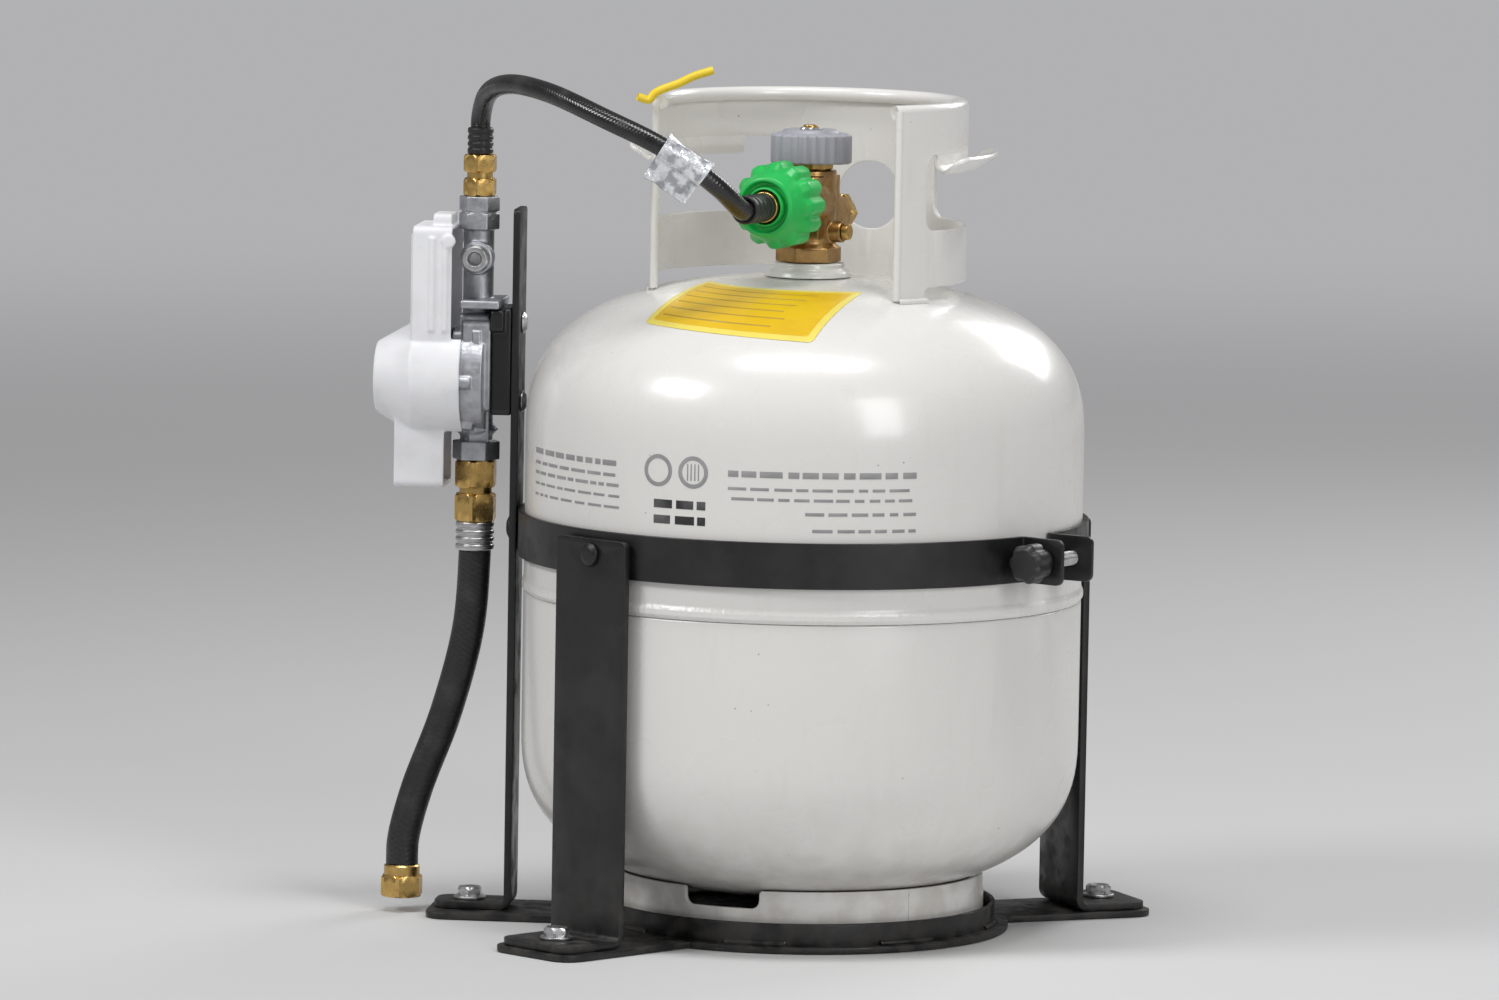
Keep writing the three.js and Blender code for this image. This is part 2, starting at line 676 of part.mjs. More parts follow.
// A foil label folded round the hose, with a short flag hanging from it.
function hoseTag(path) {
  const [from, middle, to] = [TAG_AT - TAG_SPAN, TAG_AT, TAG_AT + TAG_SPAN].map((u) => path.getPointAt(u));
  const sleeve = swept(new THREE.CatmullRomCurve3([from, middle, to]), HOSE_R + 1.7, 4, 8, HOSE_R + 0.9);
  const along = to.clone().sub(from).normalize();
  const across = along.clone().cross(v3(0, 0, 1)).normalize();
  const down = across.clone().cross(along).negate();
  const flag = new THREE.BoxGeometry(22, 0.9, 12).translate(0, 0, -(HOSE_R + 7));
  flag.applyMatrix4(new THREE.Matrix4().makeBasis(along, across, down.negate()).setPosition(middle));
  return join(sleeve, flag);
}

function buildPigtail() {
  const group = groupAt();
  piece(group, "coupling_nut", couplingNut(), "green");
  const nipple = join(
    rod(3.5, v3(0, -35, OUTLET_Z), v3(0, -42, OUTLET_Z), 16, 6.5),
    rodY(6.5, -42, -OUTLET_REACH - 3, OUTLET_Z),
    rodY(14, -OUTLET_REACH - 1.6, -OUTLET_REACH - 6, OUTLET_Z, 0, 20),
    rodY(8.5, -OUTLET_REACH - 5, -NUT_FAR - 1, OUTLET_Z),
    rodY(2.4, -NUT_FAR, -FERRULE_FAR + 8, OUTLET_Z, 0, 10),
  );
  piece(group, "connector_nipple", cut(nipple, rodY(1.5, -30, -FERRULE_FAR, OUTLET_Z, 0, 8)), "brass");
  const seal = cut(
    rodY(10.5, -43, -OUTLET_REACH - 1.3, OUTLET_Z),
    rodY(6.5 + GAP, -40, -OUTLET_REACH - 3, OUTLET_Z),
  );
  piece(group, "connector_seal", seal, "blackPlastic");
  const ferrule = cut(
    rodY(8, -NUT_FAR - 1.3, -FERRULE_FAR, OUTLET_Z),
    rodY(3, -NUT_FAR, -NUT_FAR - 4, OUTLET_Z, 0, 10),
    rodY(HOSE_R + 0.6, -NUT_FAR - 3, -FERRULE_FAR - 1, OUTLET_Z),
  );
  piece(group, "connector_ferrule", ferrule, "blackPlastic");
  piece(group, "pigtail_hose", swept(pigtailPath(), HOSE_R, 30, 8, HOSE_BORE), "hose");
  piece(group, "hose_tag", hoseTag(pigtailPath()), "tag");
}

// ---------------------------------------------------------------- regulator
function regulatorBody() {
  const column = -REG_O;
  const chamber = rodY(24, -180, -CASE_FACE - 1, REG_Z, 0, 24);
  const body = join(
    box(-19, 19, -190, -(BAR_OUT + GAP), REG_Z - 17, REG_Z + 39),
    box(-22, 22, -190, -(BAR_OUT + GAP), REG_Z + 41, REG_Z + 45),
    rodZ(8.5, REG_Z + 38, REG_TOP - 18, 0, column),
    rodZ(11.5, REG_TOP - 19, REG_TOP, 0, column, 6),
    rodX(7.5, 0, 15, column, REG_TOP - 34, 14),
    rodY(CASE_R, -178, -CASE_FACE, REG_Z, 0, 28),
    rodZ(9, REG_LOW + 10, REG_Z - 16, 0, column),
    rodZ(13.5, REG_LOW, REG_LOW + 11, 0, column, 6),
  );
  const lugs = [-6.5, 4].map((x) => box(x, x + 2.5, -185, -179, LEVER_PIVOT.z - 3.5, LEVER_PIVOT.z + 2.5));
  return cut(
    join(cut(body, chamber), ...lugs),
    rodX(1.2 + GAP, -8, 8, -LEVER_PIVOT.o, LEVER_PIVOT.z, 8),
    rodZ(4, REG_Z + 32, REG_TOP + 1, 0, column, 12),
    rodZ(1.5, REG_Z + 20, REG_Z + 33, 0, -ORIFICE_O, 8),
    rodZ(5, REG_LOW - 1, REG_Z - 18, 0, column, 12),
    rodX(5.3, 9, 16, column, REG_TOP - 34, 12),
    ...SCREW_HEIGHTS.map((z) => rodY(3, -160, -174, z, 0, 10)),
  );
}

function regulatorBonnet() {
  const profile = [
    [CASE_R, 197.6],
    [CASE_R, 201],
    [26, 202],
    [22, 213],
    [13, 216],
    [13, 226],
    [10.3, 226],
    [10.3, 219],
    [11.5, 213],
    [20, 210],
    [23, 201],
    [23, 197.6],
  ];
  return solid(turned(profile, 24).rotateX(Math.PI / 2).translate(0, 0, REG_Z));
}

// The lever turns the diaphragm's travel into a small push on the pintle, which closes the orifice above it.
function regulatorLever() {
  const outline = new THREE.Shape(
    [
      [181.4, 13.2], [183.6, 13.2], [187.2, -2], [189, -2], [189, 2],
      [185.6, 14], [188, 14.6], [188, 16.2], [181.4, 16.2],
    ].map(([o, z]) => v2(o, REG_Z + z)),
  );
  return join(slab(outline, 4), rodX(1.2, -6.2, 6.2, -LEVER_PIVOT.o, LEVER_PIVOT.z, 8));
}

// The moulded cover, hollow and open towards the post.
function coverShell(inset) {
  const drumR = COVER_R - inset;
  const back = inset ? -180 : -190;
  return join(
    box(-24 + inset, 24 - inset, -218 + inset, inset ? -180 : -196, REG_Z + 20, COVER_TOP - inset),
    rodY(drumR, back, -219 + inset, REG_Z, 0, 28),
    rod(drumR, v3(0, -218 + inset, REG_Z), v3(0, -COVER_NOSE_O + inset, REG_Z), 28, COVER_NOSE_R - inset),
    box(-17 + inset, 17 - inset, -228 + inset, inset ? -180 : -200, REG_Z - 60 + inset, REG_Z - 10),
  );
}

function fitting(low, high, hexRadius, bore, plugR, plugTop) {
  const middle = (low + high) / 2;
  const stack = join(
    rodZ(hexRadius, low, middle - 1.5, 0, -REG_O, 6),
    rodZ(hexRadius * 0.78, middle - 2, middle + 2, 0, -REG_O),
    rodZ(hexRadius, middle + 1.5, high, 0, -REG_O, 6),
    rodZ(plugR, Math.min(high - 1, plugTop), Math.max(high - 1, plugTop), 0, -REG_O, 12),
  );
  return cut(stack, rodZ(bore, low - 20, high + 30, 0, -REG_O, 10));
}

function buildRegulator() {
  const group = groupAt(POST_PHI);
  piece(group, "regulator_body", regulatorBody(), "zinc");
  const portZ = REG_TOP - 34;
  const plug = join(rodX(5, 9.3, 16, -REG_O, portZ, 12), rodX(7, 15.3, 19, -REG_O, portZ, 6));
  piece(group, "port_plug", plug, "steel");

  const diaphragm = cut(
    rodY(CASE_R - 1, -CASE_FACE - GAP, -CASE_FACE - 1.3, REG_Z, 0, 24),
    rodY(2.8, -190, -200, REG_Z, 0, 10),
  );
  piece(group, "diaphragm", diaphragm, "rubber");
  const plate = join(rodY(17, -198, -199.5, REG_Z, 0, 20), rodY(2.4, -189.5, -198.5, REG_Z, 0, 10));
  piece(group, "diaphragm_plate", plate, "steel");
  piece(group, "regulator_spring", coil(v3(0, -199.9, REG_Z), v3(0, -1, 0), 18, 8, 0.9, 4), "steel");
  piece(group, "regulator_bonnet", regulatorBonnet(), "zinc");
  const adjuster = join(rodY(9.8, -220, -227, REG_Z), rodY(12.5, -226.3, -231, REG_Z));
  piece(group, "adjuster_cap", adjuster, "blackPlastic");
  piece(group, "regulator_lever", regulatorLever(), "steel");
  const pintle = rod(2.4, v3(0, -ORIFICE_O, REG_Z + 17.2), v3(0, -ORIFICE_O, REG_Z + 22.5), 10, 1);
  piece(group, "regulator_pintle", pintle, "rubber");
  const tab = box(-10, 14, -208, -197.5, COVER_TOP - 4, COVER_TOP + 6.5);
  piece(group, "regulator_cover", cut(join(coverShell(0), tab), coverShell(COVER_WALL)), "whitePlastic");

  const inlet = fitting(REG_TOP + GAP, REG_TOP + 23, 10, 3.2, 3.7, REG_TOP - 9);
  piece(group, "inlet_fitting", inlet, "brass");
  const inletFerrule = cut(
    rodZ(7.2, REG_TOP + 23 + GAP, REG_TOP + 38, 0, -REG_O),
    rodZ(HOSE_R + 0.6, REG_TOP + 20, REG_TOP + 40, 0, -REG_O, 16),
  );
  piece(group, "inlet_ferrule", inletFerrule, "blackPlastic");
  const outletTop = REG_LOW - GAP;
  const outlet = fitting(outletTop - 34, outletTop, 12.5, 2.6, 4.7, REG_LOW + 9);
  piece(group, "outlet_fitting", outlet, "brass");

  const hoseTop = outletTop - 34 - GAP;
  const collar = cut(
    rodZ(10.8, hoseTop - 16, hoseTop, 0, -REG_O),
    rodZ(SUPPLY_R + GAP, hoseTop - 17, hoseTop + 1, 0, -REG_O),
  );
  piece(group, "outlet_ferrule", collar, "steel");
  const swivelTop = 26;
  const path = new THREE.CatmullRomCurve3(
    [
      v3(0, -REG_O, hoseTop - 1),
      v3(0, -REG_O, hoseTop - 20),
      v3(0, -187, 160),
      v3(0, -199, 112),
      v3(0, -215, 68),
      v3(0, -222, 40),
      v3(0, -222.5, swivelTop + 2 * GAP),
    ],
    false,
    "centripetal",
  );
  piece(group, "supply_hose", swept(path, SUPPLY_R, 14, 8, SUPPLY_BORE), "hose");
  const swivel = cut(
    join(
      rodZ(12.5, 8, swivelTop - 6, 0, -222.5, 6),
      rodZ(10, swivelTop - 7, swivelTop, 0, -222.5),
    ),
    rodZ(8, 7, 16, 0, -222.5),
    rodZ(4, 7, swivelTop + 1, 0, -222.5, 12),
  );
  piece(group, "supply_swivel_nut", swivel, "brass");
}

// ---------------------------------------------------------------- hold-down bracket
// The plate carries a welded ring that the cylinder's foot drops into.
function basePlate() {
  const side = ARM_W / 2;
  const corner = ARM_REACH - ARM_CORNER;
  const arms = [FRONT_PHI, POST_PHI, REAR_PHI].map((phi) =>
    join(
      box(-side, side, -corner, 0, 0, PLATE_T),
      box(ARM_CORNER - side, side - ARM_CORNER, -ARM_REACH, 1 - corner, 0, PLATE_T),
      rodZ(ARM_CORNER, 0, PLATE_T, ARM_CORNER - side, -corner, 20),
      rodZ(ARM_CORNER, 0, PLATE_T, side - ARM_CORNER, -corner, 20),
    ).rotate([0, 0, phi]),
  );
  const boltHoles = [FRONT_PHI, POST_PHI, REAR_PHI].map((phi) =>
    rodZ(4 + GAP, -1, PLATE_T + 1, 0, -FOOT_BOLT_O, 12).rotateZ(rad(phi)),
  );
  const frameHoles = [0, 90, 180, 270].map((phi) =>
    rodZ(5.5, -1, PLATE_T + 1, 0, -72, 12).rotateZ(rad(phi + 45)),
  );
  const low = PLATE_T - 0.5;
  const high = PLATE_T + 12;
  const inner = FOOT_R + 4;
  const outer = FOOT_R + 6.5;
  const locator = turned([[inner, low], [outer, low], [outer, high], [inner, high]], SHELL_SEGMENTS);
  return cut(
    join(rodZ(HUB_R, 0, PLATE_T, 0, 0, SHELL_SEGMENTS), ...arms, locator),
    ...boltHoles,
    ...frameHoles,
  );
}

// A flat bar standing against the band, with a foot bent outwards on the base plate.
function upright(height, width) {
  const low = PLATE_T + GAP;
  const bend = 6;
  const outline = new THREE.Shape();
  outline.moveTo(BAR_IN, height);
  outline.lineTo(BAR_IN, low + bend);
  outline.quadraticCurveTo(BAR_IN, low, BAR_IN + bend, low);
  outline.lineTo(ARM_REACH - 3, low);
  outline.lineTo(ARM_REACH - 3, low + BAR_T);
  outline.lineTo(BAR_OUT + 2, low + BAR_T);
  outline.quadraticCurveTo(BAR_OUT, low + BAR_T, BAR_OUT, low + BAR_T + 2);
  outline.lineTo(BAR_OUT, height);
  return cut(
    slab(outline, width),
    rodZ(4 + GAP, 0, 15, 0, -FOOT_BOLT_O, 12),
    rodY(3.5, -BAR_IN + 2, -BAR_OUT - 2, BAND_Z, 0, 10),
  );
}

function footBolt() {
  const head = PLATE_T + BAR_T + 2 * GAP;
  return join(
    rodZ(4, GAP, head + 1, 0, -FOOT_BOLT_O, 12),
    rodZ(9, head, head + 1.6, 0, -FOOT_BOLT_O, 14),
    rodZ(7.2, head + 1, head + 6.5, 0, -FOOT_BOLT_O, 6),
  );
}

function bandRivet() {
  return join(
    rodY(3.1, -(BAND_R + GAP), -(BAR_OUT + 1), BAND_Z, 0, 10),
    rod(6.2, v3(0, -(BAR_OUT + GAP), BAND_Z), v3(0, -(BAR_OUT + 3), BAND_Z), 12, 3.8),
  );
}

function clampBand() {
  const low = BAND_Z - BAND_H / 2;
  const high = BAND_Z + BAND_H / 2;
  const out = BAND_R + BAND_T;
  const from = CLAMP_PHI + CLAMP_HALF;
  const to = CLAMP_PHI - CLAMP_HALF + 360;
  const strap = sector([[BAND_R, low], [out, low], [out, high], [BAND_R, high]], from, to, 44);
  const earEnd = -(CLAMP_O + 13);
  const ears = [
    box(0, 3, earEnd, -(BAND_R + 0.5), low, high).rotateZ(rad(from)),
    box(-3, 0, earEnd, -(BAND_R + 0.5), low, high).rotateZ(rad(to)),
  ];
  const boltHole = rodX(4.7, -25, 25, -CLAMP_O, BAND_Z, 12).rotateZ(rad(CLAMP_PHI));
  const rivetHoles = [FRONT_PHI, POST_PHI, REAR_PHI].map((phi) =>
    rodY(3.5, -BAND_R + 3, -out - 2, BAND_Z, 0, 10).rotateZ(rad(phi)),
  );
  return cut(join(strap, ...ears), boltHole, ...rivetHoles);
}

function clampKnob() {
  const face = -15.9;
  const knob = join(
    rodX(7.5, face, face - 6, -CLAMP_O, BAND_Z, 6),
    rodX(11, face - 5, face - 19, -CLAMP_O, BAND_Z, 10),
  );
  return cut(knob, rodX(4 + GAP, 0, face - 15, -CLAMP_O, BAND_Z, 12));
}

function buildBracket() {
  const group = groupAt();
  piece(group, "base_plate", basePlate(), "blackPaint");
  piece(group, "clamp_band", clampBand(), "blackPaint");

  const stands = [
    ["front", FRONT_PHI, upright(UPRIGHT_TOP, BAR_W), "front_upright"],
    ["rear", REAR_PHI, upright(UPRIGHT_TOP, BAR_W), "rear_upright"],
    ["post", POST_PHI, regulatorPost(), "regulator_post"],
  ];
  for (const [label, phi, shape, name] of stands) {
    const stand = groupAt(phi);
    piece(stand, name, shape, "blackPaint");
    piece(stand, `${label}_foot_bolt`, footBolt(), "steel");
    piece(stand, `${label}_band_rivet`, bandRivet(), "blackPaint");
  }

  const clamp = groupAt(CLAMP_PHI);
  const bolt = join(
    rodX(7.5, 15.9, 21, -CLAMP_O, BAND_Z, 12),
    rodX(4, 17, -30, -CLAMP_O, BAND_Z, 12),
  );
  piece(clamp, "clamp_bolt", bolt, "steel");
  piece(clamp, "clamp_knob", clampKnob(), "blackPlastic");

  const screws = groupAt(POST_PHI);
  SCREW_HEIGHTS.forEach((z, i) => {
    const screw = join(rodY(6, -156.2, -158.7, z, 0, 12), rodY(2.6, -158, -173, z, 0, 10));
    piece(screws, `regulator_screw_${i + 1}`, screw, "steel");
  });
}

function regulatorPost() {
  const holes = SCREW_HEIGHTS.map((z) => rodY(3, -BAR_IN + 2, -BAR_OUT - 2, z, 0, 10));
  return cut(upright(POST_TOP, POST_W), ...holes);
}

buildVessel();
buildValve();
buildRelief();
buildOutletCheck();
buildStopFill();
buildPigtail();
buildRegulator();
buildBracket();

export default root;
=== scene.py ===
"""A 20 lb propane cylinder on a trailer tongue, with its valve, hose, regulator and hold-down bracket.

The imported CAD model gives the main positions. Lengths are in millimetres until a mesh is made.
An angle phi is measured from -Y towards +X, seen from above.
"""
import json
import math
import random

import bmesh
import bpy
import numpy as np
from mathutils import Matrix, Quaternion, Vector


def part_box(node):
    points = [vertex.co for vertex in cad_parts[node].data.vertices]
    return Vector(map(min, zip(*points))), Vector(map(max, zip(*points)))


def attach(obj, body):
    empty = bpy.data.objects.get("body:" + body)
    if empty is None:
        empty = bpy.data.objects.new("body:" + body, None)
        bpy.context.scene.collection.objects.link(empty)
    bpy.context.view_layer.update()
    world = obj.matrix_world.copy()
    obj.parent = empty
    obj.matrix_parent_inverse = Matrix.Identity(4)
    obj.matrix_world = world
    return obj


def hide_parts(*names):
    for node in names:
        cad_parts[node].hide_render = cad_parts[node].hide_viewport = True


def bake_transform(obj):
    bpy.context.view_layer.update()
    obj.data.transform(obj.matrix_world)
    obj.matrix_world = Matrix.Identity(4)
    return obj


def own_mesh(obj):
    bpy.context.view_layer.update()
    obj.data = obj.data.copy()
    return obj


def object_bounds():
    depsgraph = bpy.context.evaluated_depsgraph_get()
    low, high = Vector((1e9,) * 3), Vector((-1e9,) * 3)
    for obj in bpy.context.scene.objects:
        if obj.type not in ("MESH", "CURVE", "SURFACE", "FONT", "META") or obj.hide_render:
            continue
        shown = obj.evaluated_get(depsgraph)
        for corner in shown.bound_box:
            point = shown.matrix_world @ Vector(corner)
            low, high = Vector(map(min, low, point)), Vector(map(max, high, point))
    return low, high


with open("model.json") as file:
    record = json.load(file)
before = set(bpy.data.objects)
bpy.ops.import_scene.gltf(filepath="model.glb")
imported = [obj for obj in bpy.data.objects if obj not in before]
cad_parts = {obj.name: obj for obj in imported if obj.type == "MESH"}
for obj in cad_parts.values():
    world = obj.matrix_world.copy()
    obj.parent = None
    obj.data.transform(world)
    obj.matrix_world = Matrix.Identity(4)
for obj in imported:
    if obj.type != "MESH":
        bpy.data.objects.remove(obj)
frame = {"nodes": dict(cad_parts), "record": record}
CAD_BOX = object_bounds()
MM = 0.001


# ---------------------------------------------------------------- driving dimensions
def low(node):
    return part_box(node)[0] / MM


def high(node):
    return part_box(node)[1] / MM


def centre(node):
    return (low(node) + high(node)) / 2


TANK_R = high("lower_shell").x
WALL = 2.6
DOME_POWER = 2.6
DOME_BOTTOM = low("lower_shell").z
SEAM_Z = low("upper_shell").z - 0.3
DOME_TOP = DOME_BOTTOM + 342.0
DOME = 88.5
LOW_TANGENT = DOME_BOTTOM + DOME
HIGH_TANGENT = DOME_TOP - DOME
COLLAR_R = 87.5
COLLAR_T = 2.5
COLLAR_TOP = high("guard_collar").z
RIM_R = 4.0
OUTLET_Z = centre("coupling_nut").z
BAND_Z = centre("clamp_band").z
BAND_R = TANK_R + 0.5
BAND_H = 25.0
BAR_IN = 159.0
BAR_T = 4.0
BAR_W = 54.0
POST_W = 30.0
HUB_R = 118.0
ARM_REACH = 206.0
ARM_W = 62.0
ARM_CORNER = 12.0
FOOT_BOLT_O = 184.0
FRONT_PHI = -21.5
POST_PHI = -72.0
REAR_PHI = 136.0
FOOT_PHIS = (FRONT_PHI, POST_PHI, REAR_PHI)
CLAMP_PHI = 78.0
CLAMP_O = 172.0
REG_O = Vector(centre("inlet_fitting")[:2]).length
REG_TOP = low("inlet_ferrule").z - 23.3
REG_Z = centre("diaphragm_plate").z
REG_LOW = low("regulator_body").z
REG_SCREWS = (REG_Z - 12, REG_Z + 32)
COVER_TOP = REG_Z + 86.0
PLATE_T = 3.5
FOOT_Z = PLATE_T + 0.3 + BAR_T / 2
FOOT_BEND = 4.5

CAMERA_AZIMUTH = 24.0
CAMERA_ELEVATION = 6.0
CAMERA_DISTANCE = 5.5
CAMERA_ROLL = 1.0
IMAGE_W, IMAGE_H = 1499, 1000


# ---------------------------------------------------------------- shape helpers
def rad(degrees):
    return math.radians(degrees)


def turn(phi):
    return Matrix.Rotation(rad(phi), 4, "Z")


def outwards(z, phi=0.0):
    """Carries a shape made round +Z so that its +Z points away from the axis, at a height."""
    facing = Matrix(((1, 0, 0, 0), (0, 0, -1, 0), (0, 1, 0, 0), (0, 0, 0, 1)))
    return turn(phi) @ Matrix.Translation((0, 0, z)) @ facing


def sideways(y, z, phi=0.0):
    """Carries a shape made round +Z so that its +Z points along local +X."""
    facing = Matrix(((0, 0, 1, 0), (0, 1, 0, 0), (-1, 0, 0, 0), (0, 0, 0, 1)))
    return turn(phi) @ Matrix.Translation((0, y, z)) @ facing


def upright_at(o, phi):
    """Carries a shape made round +Z to a distance o from the axis."""
    return turn(phi) @ Matrix.Translation((0, -o, 0))


def round_the_axis(r, angle, z):
    """A point at a radius, an angle in radians from -Y, and a height."""
    return (r * math.sin(angle), -r * math.cos(angle), z)


def smoothstep(low_edge, high_edge, value):
    t = min(1.0, max(0.0, (value - low_edge) / (high_edge - low_edge)))
    return t * t * (3 - 2 * t)


def rounded(points, radius=1.0, closed=True, steps=4):
    """A polyline with arcs at its corners. A point's own third number is its radius."""
    made = []
    count = len(points)
    for i, (x, y, *own) in enumerate(points):
        here = Vector((x, y))
        back = Vector(points[i - 1][:2]) - here
        ahead = Vector(points[(i + 1) % count][:2]) - here
        r = own[0] if own else radius
        if r <= 0 or (not closed and i in (0, count - 1)):
            made.append(tuple(here))
        else:
            made += corner(here, back, ahead, r, steps)
    return made


def corner(here, back, ahead, r, steps):
    """An arc in place of a corner, smaller where the sides are short."""
    shorter = min(back.length, ahead.length)
    if shorter < 1e-6:
        return [tuple(here)]
    back, ahead = back.normalized(), ahead.normalized()
    angle = back.angle(ahead)
    if angle > rad(176) or angle < rad(2):
        return [tuple(here)]
    reach = min(r / math.tan(angle / 2), 0.46 * shorter)
    r = reach * math.tan(angle / 2)
    middle = here + (back + ahead).normalized() * (r / math.sin(angle / 2))
    start = here + back * reach - middle
    end = here + ahead * reach - middle
    a0 = math.atan2(start.y, start.x)
    sweep = (math.atan2(end.y, end.x) - a0 + math.pi) % (2 * math.pi) - math.pi
    angles = [a0 + sweep * k / steps for k in range(steps + 1)]
    return [(middle.x + r * math.cos(a), middle.y + r * math.sin(a)) for a in angles]


def mesh_from(name, vertices, faces, place=None, sharp=40.0, uvs=None):
    """A linked object from millimetre vertices, smooth except across sharp edges."""
    if place is not None:
        vertices = [place @ Vector(v) for v in vertices]
    mesh = bpy.data.meshes.new(name)
    mesh.from_pydata([Vector(v) * MM for v in vertices], [], faces)
    if uvs is not None:
        layer = mesh.uv_layers.new(name="UVMap")
        for loop in mesh.loops:
            layer.data[loop.index].uv = uvs[loop.vertex_index]
    face_outwards(mesh)
    return shade(linked(name, mesh), sharp)


def face_outwards(mesh):
    shape = bmesh.new()
    shape.from_mesh(mesh)
    bmesh.ops.recalc_face_normals(shape, faces=shape.faces)
    shape.to_mesh(mesh)
    shape.free()


def linked(name, data):
    made = bpy.data.objects.new(name, data)
    bpy.context.scene.collection.objects.link(made)
    return made


def shade(made, sharp=35.0):
    made.data.shade_smooth()
    made.data.set_sharp_from_angle(angle=rad(sharp))
    return made


def revolve(name, profile, segments, place=None, shape=None, sharp=40.0):
    """A (radius, height) profile turned round Z. shape(theta, r, z) may change the radius."""
    vertices = []
    rings = []
    for r, z in profile:
        if r < 1e-4:
            rings.append([len(vertices)] * segments)
            vertices.append((0, 0, z))
            continue
        ring = []
        for i in range(segments):
            theta = 2 * math.pi * i / segments
            reach = shape(theta, r, z) if shape else r
            ring.append(len(vertices))
            vertices.append(round_the_axis(reach, theta, z))
        rings.append(ring)
    pairs = list(zip(rings, rings[1:]))
    if profile[0][0] > 1e-4 and profile[-1][0] > 1e-4:
        pairs.append((rings[-1], rings[0]))
    faces = []
    for a, b in pairs:
        for i in range(segments):
            j = (i + 1) % segments
            face = list(dict.fromkeys((a[i], a[j], b[j], b[i])))
            if len(face) > 2:
                faces.append(face)
    return mesh_from(name, vertices, faces, place, sharp)


def hex_shape(across_flats, zones):
    """A radius rule: inside the height zones the outside is cut to a hexagon."""
    apothem = across_flats / 2

    def rule(theta, r, z):
        if r < apothem * 0.86 or not any(a - 1e-6 <= z <= b + 1e-6 for a, b in zones):
            return r
        angle = (theta + math.pi / 6) % (math.pi / 3) - math.pi / 6
        return min(r, apothem / math.cos(angle))

    return rule


def hex_zone(flats, z0, z1, chamfer=1.0):
    """Profile points for a hexagon's outside with chamfered corners, from z0 up to z1."""
    outer = flats / math.sqrt(3)
    inner = flats / 2 * 0.985
    steps = 3
    between = [(outer, z0 + chamfer + (z1 - z0 - 2 * chamfer) * k / steps) for k in range(1, steps)]
    return [(inner, z0), (outer, z0 + chamfer), *between, (outer, z1 - chamfer), (inner, z1)]


def spline_points(controls, per_span=10):
    """Points along a centripetal Catmull-Rom curve, the same curve the CAD hoses follow."""
    pts = [Vector(c) for c in controls]
    pts = [2 * pts[0] - pts[1], *pts, 2 * pts[-1] - pts[-2]]
    made = []
    for p0, p1, p2, p3 in zip(pts, pts[1:], pts[2:], pts[3:]):
        t0 = 0.0
        t1 = t0 + (p1 - p0).length ** 0.5
        t2 = t1 + (p2 - p1).length ** 0.5
        t3 = t2 + (p3 - p2).length ** 0.5
        for k in range(per_span):
            t = t1 + (t2 - t1) * k / per_span
            a1 = p0 * ((t1 - t) / (t1 - t0)) + p1 * ((t - t0) / (t1 - t0))
            a2 = p1 * ((t2 - t) / (t2 - t1)) + p2 * ((t - t1) / (t2 - t1))
            a3 = p2 * ((t3 - t) / (t3 - t2)) + p3 * ((t - t2) / (t3 - t2))
            b1 = a1 * ((t2 - t) / (t2 - t0)) + a2 * ((t - t0) / (t2 - t0))
            b2 = a2 * ((t3 - t) / (t3 - t1)) + a3 * ((t - t1) / (t3 - t1))
            made.append(b1 * ((t2 - t) / (t2 - t1)) + b2 * ((t - t1) / (t2 - t1)))
    made.append(pts[-2])
    return made


def lengths_along(points):
    """The length of the path up to each of its points."""
    lengths = [0.0]
    for a, b in zip(points, points[1:]):
        lengths.append(lengths[-1] + (b - a).length)
    return lengths


def tube(name, path, radius, sides=28, place=None, bore=0.0, cap=0.0, radius_at=None):
    """A hose or wire along points, with u along it and v round it in its UV map.

    A bore makes it hollow. A cap rounds each solid end over that length.
    """
    path = [Vector(p) for p in path]
    tangents = [(b - a).normalized() for a, b in zip(path, path[1:])]
    tangents = [tangents[0], *[(a + b).normalized() for a, b in zip(tangents, tangents[1:])], tangents[-1]]
    normal = tangents[0].orthogonal().normalized()
    frames = []
    for i, t in enumerate(tangents):
        if i:
            normal = (tangents[i - 1].rotation_difference(t) @ normal).normalized()
        frames.append((normal.copy(), t.cross(normal)))
    rows = [(p, f, s, 1.0) for p, f, s in zip(path, frames, lengths_along(path))]
    if cap:
        rows = rounded_ends(rows, tangents, cap)
    vertices, uvs, faces = [], [], []

    def ring(row, r):
        point, (n, b), s, share = row
        start = len(vertices)
        for k in range(sides):
            a = 2 * math.pi * k / sides
            reach = r * share * (radius_at(s, a) if radius_at else 1.0)
            vertices.append(point + (n * math.cos(a) + b * math.sin(a)) * reach)
            uvs.append((s, k / sides))
        return start

    def wall(starts):
        for a, b in zip(starts, starts[1:]):
            for k in range(sides):
                j = (k + 1) % sides
                faces.append((a + k, a + j, b + j, b + k))

    outer = [ring(row, radius) for row in rows]
    wall(outer)
    if bore:
        inner = [ring(row, bore) for row in rows]
        wall(inner)
        wall([outer[0], inner[0]])
        wall([outer[-1], inner[-1]])
    else:
        faces.append([outer[0] + k for k in range(sides)])
        faces.append([outer[-1] + k for k in range(sides)])
    return mesh_from(name, vertices, faces, place, 50.0, uvs)


def weld(name, points, r, sides, cap, depth, rate):
    """A weld bead along points, its thickness rippling with the length."""
    return tube(name, points, r, sides, cap=cap, radius_at=lambda s, _: 1 + depth * math.sin(s * rate))


